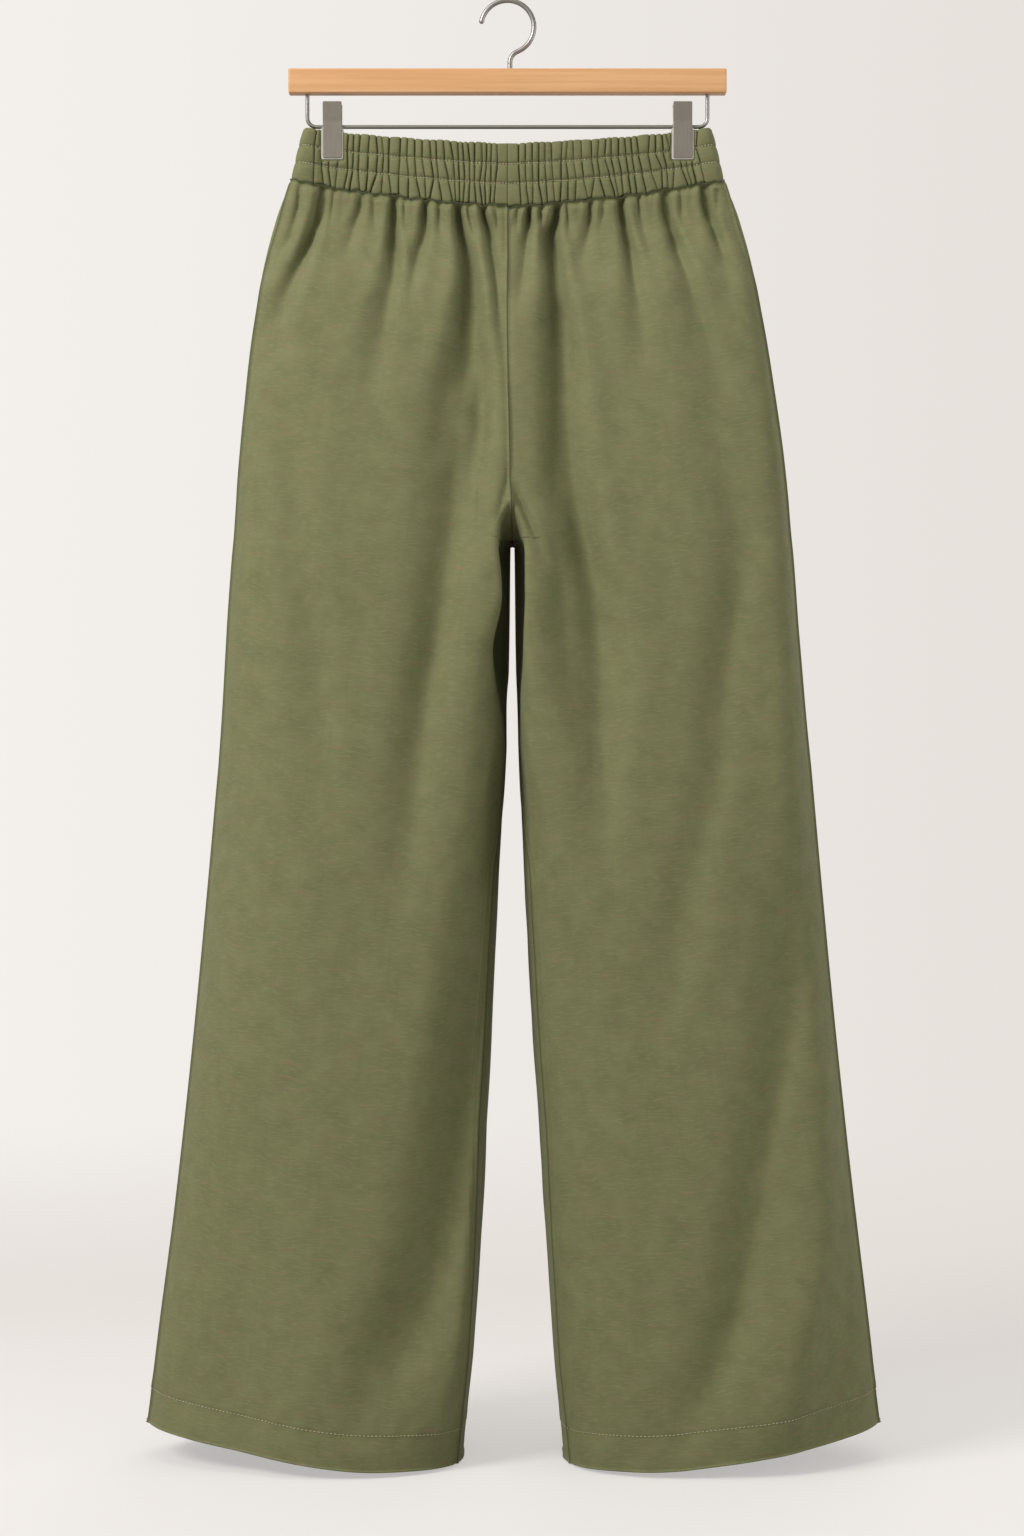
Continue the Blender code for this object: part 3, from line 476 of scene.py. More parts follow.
def table_value(table, level):
    return np.interp(level, [row[0] for row in table], [row[1] for row in table])


def full_depth(face, level):
    return section_value("front" if face == FRONT else "back", level)


def waist_share(level):
    """How much a leg's section still follows the band, from 1 at the waist seam."""
    return 1.0 - smooth_step((level - SEAM_LEVEL) / WAIST_FADE)


def drift(level):
    """Sideways place of the centre line."""
    return CENTRE_DRIFT * np.clip((level - SEAM_LEVEL) / (CROTCH_LEVEL - SEAM_LEVEL), 0.0, 1.0)**3


def sag_lift(x, half_width):
    return np.minimum(np.abs(x) / half_width, 1.0) ** SAG_POWER


def waist_depth(x, half_width):
    """Distance of the band's outer face from the middle plane, pinched at the clips."""
    x = np.abs(x)
    inner_edge, outer_edge = CLIP_X - PINCH_FLAT, CLIP_X + PINCH_FLAT
    bow = BAND_BOW * np.cos(0.5 * math.pi * np.minimum(x / inner_edge, 1.0)) ** 1.3
    loop = np.clip((x - outer_edge) / (half_width - outer_edge), 0.0, 1.0)
    depth = PINCH_GAP + BAND_WALL + np.where(x < inner_edge, bow,
                                             END_BULGE * np.sin(math.pi * loop))
    into_end = np.clip((x - (half_width - END_ROUND)) / END_ROUND, 0.0, 1.0)
    return depth * np.sqrt(1.0 - into_end**2)


def fold_relief(folds, x, level):
    """Depth of all the folds at points of a panel, less the swelling beside them."""
    total = np.zeros_like(x)
    for knots in folds:
        levels = [knot.level for knot in knots]
        centre, depth, width = (smooth_curve(levels, [getattr(knot, part) for knot in knots],
                                             level) for part in ("x", "depth", "width"))
        depth = depth * (PLEAT_GAIN + (DRAPE_GAIN - PLEAT_GAIN) * smooth_step((width - 9.0) / 4.0))
        lean = FLANK_LEAN * (0.25 + 0.75 * smooth_step(width / 12.0))
        away = x - centre
        away = np.abs(away) / (width * (1.0 + np.where(away < 0.0, lean, -lean)))
        power = 1.25 + 0.75 * smooth_step(width / 12.0)
        shape = np.exp(-away**power) - RIDGE_SHARE * hump(away - 2.0, 1.0)
        inside = (level >= levels[0]) & (level < levels[-1])
        total += np.where(inside, depth * shape, 0.0)
    return total


def lengths(points):
    return np.concatenate([[0.0], np.cumsum(np.linalg.norm(np.diff(points, axis=0), axis=1))])


def resample(points, lengths_wanted):
    """Points at given distances along a fine polyline."""
    run = lengths(points)
    return np.column_stack([np.interp(lengths_wanted, run, points[:, k]) for k in range(2)])


def half_section(row_level, side, face, outer, inner):
    """Outline of one face of a leg from its inner edge to its side, as (x, depth) points.

    Above the crotch the inner end is cut off at the centre seam, whose start follows the
    crotch curve back to the middle plane.
    """
    full = full_depth(face, row_level)
    side_power = section_value("side_power", row_level)
    seam_power = table_value(CORNER_POWER, row_level)
    middle = 0.5 * (outer + inner)
    reach = middle - inner
    start = 0.0
    above = (CROTCH_LEVEL - row_level) / (RISE_FRONT if face == FRONT else RISE_BACK)
    if above > 0.0:
        start = math.sqrt(1.0 - (1.0 - above) ** 2) if above < 1.0 else 1.0
        if face == FRONT and above < 1.0:
            start = (CROTCH_SHELF * math.sqrt(min(above / 0.03, 1.0))
                     + (1.0 - CROTCH_SHELF) * above**CROTCH_FALL)
        start = min(start, 0.9999)
        reach = middle / (1.0 - start**seam_power) ** (1.0 / seam_power)
    fine = (np.arange(401) / 400.0) ** 5
    inward = np.clip(1.0 - ((middle - inner) * (1.0 - fine) / reach) ** seam_power, 0.0, 1.0)
    rise = inward ** (1.0 / seam_power)
    lip = (1.0 + CORNER_LIP) * np.sin(0.5 * math.pi * np.minimum(rise / 0.6, 1.0)) \
        - CORNER_LIP * smooth_step((rise - 0.6) / 0.4)
    arch = np.clip((rise - start) / max(1.0 - start, 1e-3), 0.0, 1.0) ** ARCH_POWER
    below = smooth_step((row_level - CROTCH_LEVEL) / 12.0)
    corner = table_value(LEFT_CORNER if side == LEFT else RIGHT_CORNER, row_level)
    out = max(corner - inner, 0.0) * (arch + below * (lip - arch))
    away = (middle - inner) * fine
    inner_part = np.column_stack([inner + away + out * (1.0 - smooth_step(away / CORNER_FADE)),
                                  full * rise])
    outward = 1.0 - (1.0 - fine) ** side_power
    outer_part = np.column_stack([outer - (outer - middle) * fine,
                                  full * outward ** (1.0 / side_power)])[::-1]
    line = np.vstack([inner_part, outer_part[1:]])
    line[:, 1] += waist_share(row_level) * (waist_depth(line[:, 0], outer) - line[:, 1])
    return line


def panel_line(row_level, side, face, outer, inner):
    """Points across one panel. Depths below nothing lie on the other side of the middle."""
    front_line = half_section(row_level, side, FRONT, outer, inner)
    front_run = lengths(front_line)
    cut_in = float(table_value(INSEAM_FORWARD, row_level))
    cut_out = float(table_value(SIDE_SEAM_FORWARD, row_level))
    if face == FRONT:
        inside = (front_run > cut_in) & (front_run < front_run[-1] - cut_out)
        ends = resample(front_line, [cut_in, front_run[-1] - cut_out])
        line = np.vstack([ends[:1], front_line[inside], ends[1:]])
    else:
        line = half_section(row_level, side, BACK, outer, inner)
        turned = front_line * [1.0, -1.0]
        if cut_in > 0.0:
            near = (front_run > 0.0) & (front_run < cut_in)
            line = np.vstack([resample(turned, [cut_in]), turned[near][::-1], line])
        if cut_out > 0.0:
            cut = front_run[-1] - cut_out
            near = (front_run > cut) & (front_run < front_run[-1])
            line = np.vstack([line, turned[near][::-1], resample(turned, [cut])])
    near = np.array(EDGE_STEPS)
    run = lengths(line)
    total = run[-1]
    beyond = max(COLUMNS_PIVOT, inner + 14.0)
    past = np.argmax((line[:, 0] > beyond) & (line[:, 1] > 0.0))
    pivot = max(run[past], near[-1] + 6.0)
    steps = np.concatenate([near, np.linspace(near[-1], pivot, CORNER_COLUMNS)[1:],
                            np.linspace(pivot, total - near[-1], PANEL_COLUMNS)[1:-1],
                            total - near[::-1]])
    return resample(line, steps)


def wavy(x, y, seed, waves, wavelength):
    """A gentle uneven swell from a few crossing ripples, mostly between -1 and 1."""
    dice = random.Random(seed)
    total = np.zeros_like(x)
    for _ in range(waves):
        angle = dice.uniform(0.0, math.pi)
        length = wavelength * dice.uniform(0.7, 1.6)
        phase = dice.uniform(0.0, 2.0 * math.pi)
        total += np.sin(2.0 * math.pi * (x * math.cos(angle) + y * math.sin(angle)) / length
                        + phase)
    return total / math.sqrt(waves)


def seam_ruck(x):
    """How far the waist seam wanders up and down where the gathers pull on it."""
    return (0.6 * np.sin(x / 1.9 + 1.6 * np.sin(x / 9.0)) + 0.5 * np.sin(x / 4.3 + 0.8)
            + 0.3 * np.sin(x / 12.0))


def grid_normals(points, side, face):
    down = np.gradient(points, axis=0)
    across = np.gradient(points, axis=1)
    normals = np.cross(across, down) * (-1.0 if side * face > 0 else 1.0)
    return normals / np.maximum(np.linalg.norm(normals, axis=2, keepdims=True), 1e-9)


def grid_mesh(name, points, cloth_uv, painted_shade, flip):
    """A mesh of quads over a grid of points in mm, with the cloth's own map in metres and
    how much painted shade darkens each point, from 0 to 1."""
    rows, columns = points.shape[:2]
    data = bpy.data.meshes.new(name)
    index = np.arange(rows * columns).reshape(rows, columns)
    quads = np.stack([index[:-1, :-1], index[:-1, 1:], index[1:, 1:], index[1:, :-1]],
                     axis=-1).reshape(-1, 4)
    if flip:
        quads = quads[:, ::-1]
    data.from_pydata((points.reshape(-1, 3) * MM).tolist(), [], quads.tolist())
    layer = data.uv_layers.new(name="cloth")
    loops = np.zeros(len(data.loops), dtype=np.int32)
    data.loops.foreach_get("vertex_index", loops)
    layer.data.foreach_set("uv", (cloth_uv.reshape(-1, 2)[loops] * MM).ravel())
    painted_shade_layer = data.attributes.new("painted_shade", "FLOAT", "POINT")
    painted_shade_layer.data.foreach_set("value", painted_shade.ravel().astype(np.float32))
    data.shade_smooth()
    return data


def thread_map(points):
    """Distances along the weft, from the last column, and along the warp, from the first row."""
    weft = np.concatenate([np.zeros((len(points), 1)),
                           np.cumsum(np.linalg.norm(np.diff(points, axis=1), axis=2), axis=1)],
                          axis=1)
    weft -= weft[:, -1:]
    warp = np.concatenate([np.zeros((1, points.shape[1])),
                           np.cumsum(np.linalg.norm(np.diff(points, axis=0), axis=2), axis=0)])
    return weft, warp


def panel_rows():
    ends = [step.start for step in ROW_STEPS[1:]] + [HEM_LEVEL]
    rows = [np.arange(step.start, end - 0.4 * step.spacing, step.spacing)
            for step, end in zip(ROW_STEPS, ends)]
    return np.concatenate(rows + [[HEM_LEVEL]])


def panel_points(side, face, seed):
    """Points of one panel: rows down the leg, columns from its inner edge to its side."""
    rows, room_rows = [], []
    for row_level in panel_rows():
        sag = SEAM_LIFT * (1.0 - smooth_step((row_level - SEAM_LEVEL) / SAG_FADE))
        below = max(row_level - CROTCH_LEVEL, 0.0) / (HEM_LEVEL - CROTCH_LEVEL)
        outer = float(section_value("outer", row_level - sag - HEM_LIFT * below)
                      + side * table_value(OUTER_SHIFT, row_level)
                      - table_value(OUTER_TRIM, row_level))
        inner = float(table_value(INNER_EDGE, row_level)
                      - table_value(INNER_TRIM[side], row_level))
        x, depth = panel_line(row_level, side, face, outer, inner).T
        under_seam = row_level - SEAM_LEVEL
        x = x - 1.3 * hump(under_seam, 2.2) * smooth_step((x / outer - SIDE_TUCK)
                                                          / (1.0 - SIDE_TUCK))
        level = (row_level - sag * sag_lift(x, outer)
                 - HEM_LIFT * below * (x - inner) / (outer - inner)
                 - INSEAM_LIFT * below * (1.0 - smooth_step((x - inner) / INSEAM_LIFT_REACH))
                 + seam_ruck(side * x) * math.exp(-under_seam / RUCK_FADE))
        room = np.maximum(smooth_step(2.0 * np.abs(depth) / full_depth(face, row_level) - 0.2),
                          waist_share(row_level) * smooth_step((outer - x) / 14.0))
        rows.append(np.stack([x, depth, level], axis=1))
        room_rows.append(room * (1.0 - hump(under_seam, 3.0)))
    x, depth, level = np.moveaxis(np.array(rows), 2, 0)
    room = np.array(room_rows)
    place = side * x + drift(level)
    own = fold_relief(FRONT_FOLDS if face == FRONT else BACK_FOLDS, place, level)
    if face == BACK:
        own = np.where(depth < 0.0, fold_relief(FRONT_FOLDS, place, level), own)
    under_seam = (panel_rows() - SEAM_LEVEL)[:, None]
    bloom = BLOOM * (1.0 - hump(under_seam, BLOOM_START)) * np.exp(-under_seam / BLOOM_END)
    turn_levels, turn_x, slopes = zip(*INNER_TURNS[side])
    from_crease = np.interp(level, turn_levels, turn_x) - side * place
    slope = np.interp(level, turn_levels, slopes)
    seen = smooth_step((np.abs(depth) - 20.0) / 30.0)
    if face == BACK:
        seen = np.where(depth < 0.0, seen, 0.0)
    own += seen * slope * (np.maximum(from_crease, 0.0) - 0.6 * hump(from_crease, 1.8))
    kept = np.where(np.abs(depth) > 3.0 * SEAM_CLOSE, SEAM_CLOSE, 0.0)
    moved = np.maximum(np.abs(depth) + room * (bloom - own), kept)
    moved = np.where(depth < 0.0, -moved, moved)
    above_crotch = (panel_rows() <= CROTCH_LEVEL)[:, None]
    near_centre = np.where(above_crotch, SEAM_CLOSE, -1.0)
    points = np.stack([side * np.maximum(x, near_centre) + drift(level), face * moved, -level],
                      axis=2)
    weft, _ = thread_map(points)
    warp = points[:1, :, 2] - points[:, :, 2]
    relief, painted_shade = panel_relief(points, weft, warp, side, seed)
    points = points + grid_normals(points, side, face) * relief[:, :, None]
    cloth_uv = np.stack([weft + 400.0 * seed, -warp], axis=2)
    return points, cloth_uv, painted_shade


def panel_relief(points, weft, warp, side, seed):
    """Fine form of a panel, out along its surface: seams, hem, puckers and slight waves.
    Also how much painted shade darkens its seams and hem stitching, from 0 to 1."""
    from_inner = weft - weft[:, :1]
    from_side = weft[:, -1:] - weft
    from_hem = warp[-1:] - warp
    x, level = points[:, :, 0] - drift(-points[:, :, 2]), -points[:, :, 2]
    turned = smooth_step((level - 190.0) / 50.0)
    side_width = 0.9 + 1.7 * turned
    inner_width = 0.7 + 1.2 * smooth_step((level - 560.0) / 60.0)
    stitch_line = hump(from_hem - HEM_HEIGHT + HEM_STITCH, 0.9)
    relief = (-1.3 * hump(from_inner, inner_width) - 1.5 * hump(warp, 0.8)
              - (0.9 + 0.7 * turned) * hump(from_side, side_width))
    # Painted shade: darkens the inseam or centre seam, the waist seam, the side seam and the hem
    # stitching.
    painted_shade = (0.75 * hump(from_inner, 0.7 * inner_width) + 0.85 * hump(warp, 0.55)
              + 0.62 * hump(from_side, 0.8 * side_width) + 0.10 * stitch_line)
    pressed = smooth_step((level - CROTCH_LEVEL - 60.0) / 80.0)
    for edge in (from_inner, from_side):
        relief += 0.45 * hump(edge - 2.9, 1.5) - 0.35 * pressed * hump(edge - 8.5, 0.9)
    relief += 0.26 * smooth_step((HEM_HEIGHT - from_hem) / 1.2) - 0.28 * stitch_line
    relief += 0.30 * hump(from_hem - HEM_HEIGHT, 9.0) * np.sin(
        weft / 3.6 + 0.9 * np.sin(weft / 17.0 + seed) + 0.14 * from_hem)
    relief -= 0.9 * hump(from_hem, 0.7)
    dice = random.Random(40 + seed)
    gathered = 8.0
    while gathered < 160.0:
        length, width = dice.uniform(6.0, 18.0), dice.uniform(0.8, 1.5)
        lean = dice.uniform(-0.10, 0.16)
        centre = side * (gathered + lean * warp)
        spread = width * (1.0 + warp / 9.0)
        relief -= (dice.uniform(0.5, 1.3) * np.exp(-np.abs((x - centre) / spread) ** 1.4)
                   * hump(warp, length))
        gathered += dice.uniform(4.0, 8.0)
    calm = (smooth_step((level - SEAM_LEVEL) / 60.0) * smooth_step(from_inner / 30.0)
            * smooth_step(from_side / 30.0))
    relief += calm * (0.20 * wavy(weft, warp * 0.6, 7 * seed, 5, 40.0)
                      + 0.45 * wavy(weft, warp * 0.35, 7 * seed + 3, 4, 110.0))
    return relief, np.clip(painted_shade, 0.0, 1.0)


STREAK_EDGE = 0.22              # how far the noise rises over a streak's soft edge


def streaks_group():
    """Long thin streaks: slubs in cloth, grain in wood, brushing in steel."""
    group = bpy.data.node_groups.new("streaks", "ShaderNodeTree")
    group.interface.new_socket("Vector", in_out="INPUT", socket_type="NodeSocketVector")
    for name in ("Along", "Across", "Threshold"):
        group.interface.new_socket(name, in_out="INPUT", socket_type="NodeSocketFloat")
    group.interface.new_socket("Mask", in_out="OUTPUT", socket_type="NodeSocketFloat")
    given = add_node(group, "NodeGroupInput").outputs
    stretch = add_node(group, "ShaderNodeCombineXYZ", {"X": given["Along"], "Y": given["Across"],
                                                       "Z": given["Across"]})
    place = add_node(group, "ShaderNodeVectorMath", {0: given["Vector"], 1: stretch},
                     operation="MULTIPLY")
    noise = add_node(group, "ShaderNodeTexNoise", {"Vector": place, "Scale": 1.0, "Detail": 3.0,
                                                   "Roughness": 0.55})
    full = add_math(group, "ADD", given["Threshold"], STREAK_EDGE)
    add_node(group, "NodeGroupOutput", {"Mask": eased(group, noise, given["Threshold"], full)})
    return group


STREAKS = streaks_group()


def add_streaks(tree, vector, along, across, threshold):
    return add_node(tree, "ShaderNodeGroup", {"Vector": vector, "Along": along,
                                              "Across": across, "Threshold": threshold},
                    node_tree=STREAKS)


def tint(tree, colour, mask, share, tone):
    """Gives what a mask leaves open a share of another tone."""
    return mix_colours(tree, add_math(tree, "MULTIPLY", mask, share), colour, tone)


OLIVE_SHADE = (0.131, 0.138, 0.0575)
OLIVE = (0.172, 0.178, 0.080)
OLIVE_LIGHT = (0.218, 0.2245, 0.1065)
OLIVE_BROWN = (0.198, 0.168, 0.086)
# Near-black olive, used as painted shade in seams, creases and gather valleys.
PAINTED_SHADE_OLIVE = (0.030, 0.034, 0.012)
SLUB_TAN = (0.235, 0.185, 0.098)
SHEEN_TINT = (0.86, 0.88, 0.70)
THREAD_PITCH = 0.00055          # metres between threads
BUMP_HEIGHT = 0.0002            # metres


def cloth_material():
    """Plain weave in metres on the cloth's own map: threads, slubs along the weft, mottling."""
    material, tree, shader = new_material("olive_cloth", {
        "Base Color": OLIVE, "Roughness": 0.82, "Specular IOR Level": 0.28,
        "Sheen Weight": 0.12, "Sheen Roughness": 0.5, "Sheen Tint": SHEEN_TINT})
    threads = add_node(tree, "ShaderNodeUVMap", uv_map="cloth").outputs["UV"]
    slubs = add_streaks(tree, threads, 110.0, 620.0, 0.46)
    thick_slubs = add_streaks(tree, threads, 30.0, 260.0, 0.54)
    warp_streaks = add_streaks(tree, threads, 260.0, 14.0, 0.50)
    mottle = add_node(tree, "ShaderNodeTexNoise", {"Vector": threads, "Scale": 55.0, "Detail": 5.0})
    dye = add_node(tree, "ShaderNodeTexNoise", {"Vector": threads, "Scale": 60.0, "Detail": 2.0})
    painted_shade_mask = add_node(tree, "ShaderNodeAttribute", attribute_name="painted_shade").outputs["Fac"]
    colour = mix_colours(tree, mottle, OLIVE_SHADE, OLIVE_LIGHT)
    colour = tint(tree, colour, slubs, 0.56, OLIVE_LIGHT)
    colour = tint(tree, colour, thick_slubs, 0.5, SLUB_TAN)
    colour = tint(tree, colour, warp_streaks, 0.14, OLIVE_SHADE)
    colour = mix_colours(tree, eased(tree, dye, 0.5, 0.75, 0.32), colour, OLIVE_BROWN)
    # Painted shade from the mesh's shade attribute, darkening seams, creases and gather valleys.
    colour = mix_colours(tree, painted_shade_mask, colour, PAINTED_SHADE_OLIVE)

    spread = add_node(tree, "ShaderNodeSeparateXYZ", {"Vector": threads})
    across, along = (add_math(tree, "SINE", add_math(tree, "MULTIPLY", spread.outputs[axis],
                                                     math.pi / THREAD_PITCH)) for axis in "XY")
    weave = add_math(tree, "MULTIPLY", add_math(tree, "MULTIPLY", across, along), 0.10)
    raised = add_math(tree, "ADD", add_math(tree, "MULTIPLY", slubs, 0.5),
                      add_math(tree, "MULTIPLY", thick_slubs, 0.7))
    bump = add_node(tree, "ShaderNodeBump", {"Height": add_math(tree, "ADD", weave, raised),
                                             "Strength": 0.5, "Distance": BUMP_HEIGHT})
    feed(tree, shader, {"Base Color": colour, "Normal": bump})
    return material


OLIVE_CLOTH = cloth_material()


def add_piece(name, data, *materials):
    piece = bpy.data.objects.new(name, data)
    for material in materials:
        data.materials.append(material)
    bpy.context.scene.collection.objects.link(piece)
    return piece


hem_lines = []                  # stitch lines of the hem, taken from the panels' own points
for seed, (side, face, node) in enumerate(QUARTERS, start=1):
    points, cloth_uv, painted_shade = panel_points(side, face, seed)
    _, warp = thread_map(points)
    above_hem = warp[-1, 40] - warp[:, 40]
    stitch_row = int(np.argmin(np.abs(above_hem - HEM_HEIGHT + HEM_STITCH)))
    hem_lines.append((points[stitch_row, 3:-3], face))
    panel = add_piece(f"{node}_panel", grid_mesh(f"{node}_panel", points, cloth_uv, painted_shade,
                                                 side * face < 0), OLIVE_CLOTH)
    wall = panel.modifiers.new("cloth", "SOLIDIFY")
    wall.thickness = CLOTH_THICK * MM
    wall.offset = -1.0
    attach(panel, "root")
    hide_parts(node)


# ---- Waistband -----------------------------------------------------------------------------
# A doubled strip of the same cloth over wide elastic, cut in four lengths in line with the
# panels. Two rows of stitching through cloth and elastic part it into three channels and draw
# it up into close, uneven gathers, flat only at the centre seams and the sides.
BAND_TOP_LEVEL, BAND_TOP_LIFT = 115.7, 15.0
BAND_TOP_HALF = 164.0
BAND_HEIGHT = 49.4
CHANNELS = [0.0, 0.315, 0.635, 1.0]     # shares of the band's height: top, stitch rows, seam
CHANNEL_ROWS = 13
CHANNEL_PUFF = 0.95             # how far the elastic pushes out the middle of a channel
STITCH_DIP, SEAM_DIP = 1.2, 1.8

# The creases between the gathers, from the centre seam out: distances from it at the top edge,
# at both stitch rows and at the waist seam, in mm. They close up over the folds below.
LEFT_CREASES = [
    (8.3, 7.9, 9.5, 10.5), (12.5, 12.9, 12.9, 13.9), (16.3, 16.4, 17.9, 17.1),
    (20.3, 19.9, 21.9, 19.9), (25.9, 25.9, 25.9, 24.8), (31.4, 29.9, 29.9, 30.6),
    (35.5, 34.5, 33.8, 35.0), (39.4, 38.8, 38.0, 37.8), (45.3, 42.8, 41.8, 41.0),
    (50.7, 49.8, 46.7, 43.6), (56.7, 56.1, 54.7, 52.0), (61.7, 60.7, 58.7, 61.7),
    (67.7, 67.7, 65.7, 64.7), (73.7, 73.7, 72.6, 69.2), (79.5, 80.0, 78.6, 79.0),
    (85.1, 85.6, 86.6, 86.6), (94.0, 94.5, 94.5, 92.6), (100.0, 98.8, 99.5, 100.5),
    (104.5, 103.5, 104.5, 109.5), (110.0, 111.1, 111.5, 112.8), (117.5, 118.4, 119.1, 117.9),
    (122.5, 123.0, 123.5, 126.0), (127.0, 127.8, 127.4, 130.4), (134.0, 134.0, 135.9, 137.6),
    (141.0, 141.0, 143.0, 141.2), (147.0, 147.5, 148.5, 147.0), (152.5, 154.1, 154.3, 154.9),
]
RIGHT_CREASES = [
    (9.0, 9.0, 10.0, 11.0), (14.4, 14.4, 14.9, 16.9), (19.9, 19.9, 20.4, 20.4),
    (25.0, 25.0, 24.9, 27.9), (30.1, 29.9, 30.9, 31.9), (34.9, 35.4, 36.4, 37.9),
    (43.6, 42.9, 42.9, 41.9), (47.8, 46.8, 48.3, 48.3), (52.3, 52.8, 54.8, 53.8),
    (58.8, 59.3, 60.8, 64.2), (66.8, 67.2, 69.2, 66.8), (72.8, 71.7, 73.7, 78.0),
    (78.7, 77.7, 81.7, 86.0), (82.7, 82.7, 85.6, 88.6), (88.7, 88.6, 91.1, 92.6),
    (93.6, 94.6, 96.5, 98.5), (98.6, 99.6, 101.5, 103.5), (103.1, 104.6, 107.5, 111.0),
    (113.5, 112.5, 115.0, 120.0), (118.5, 118.5, 123.5, 123.9), (123.5, 124.5, 127.5, 128.5),
    (127.0, 130.0, 133.4, 132.4), (133.0, 136.0, 139.4, 144.4), (141.0, 142.0, 143.5, 147.6),
    (147.0, 146.0, 148.0, 151.2), (151.8, 151.0, 154.4, 157.4),
]
BACK_SHIFT = 1.4                # the back's gathers are like the front's, moved about by this
CREASE_DEPTH, CREASE_WIDTH = 2.2, 0.55
GATHER_SWELL = 1.25
GATHER_EDGE = [0.0, 0.12, 0.3, 0.58, 1.1]     # mm from a crease
GATHER_MIDDLE = 4
END_COLUMNS = 25                # from the last crease to the side
TOP_SCALLOP = 0.9               # the top edge drops by this much in each crease
ROLL_STEPS = 5                  # rows over the rolled top edge


def band_half_width(share):
    seam_half = section_value("outer", SEAM_LEVEL - SEAM_LIFT)
    swell = 1.2 * np.sin(0.5 * math.pi * share) * (1.0 - share)
    return BAND_TOP_HALF + share * (seam_half - BAND_TOP_HALF) + swell


def band_level(share, x, half_width):
    top = BAND_TOP_LEVEL - BAND_TOP_LIFT * sag_lift(x, half_width)
    bottom = SEAM_LEVEL - SEAM_LIFT * sag_lift(x, half_width)
    return top + share * (bottom - top)


def crease_lines(side, face, dice):
    """Places of the creases in mm, a row each for the top, the stitch rows and the seam."""
    table = LEFT_CREASES if side * face > 0 else RIGHT_CREASES
    lines = np.array(table).T
    if face == BACK:
        shift = np.array([[dice.uniform(-1, 1) for _ in table] for _ in CHANNELS])
        lines = np.maximum.accumulate(lines + shift * BACK_SHIFT + 0.02 * np.arange(len(table)),
                                      axis=1)
    return lines


def gather_columns(creases):
    """Places of a row's points: the flat part by the centre, then close about each crease."""
    first, last = creases[0], creases[-1]
    runs = [[0.0, 0.4, 1.0], np.linspace(2.0, first - 1.3, 5),
            first - np.array(GATHER_EDGE)[:0:-1]]
    for near, far in zip(creases, creases[1:]):
        edge = np.array(GATHER_EDGE) * min(1.0, (far - near) / 3.0)
        middle = np.linspace(near + edge[-1], far - edge[-1], GATHER_MIDDLE + 2)[1:-1]
        runs += [near + edge, middle, far - edge[:0:-1]]
    runs.append(last + np.array(GATHER_EDGE))
    return np.concatenate(runs)


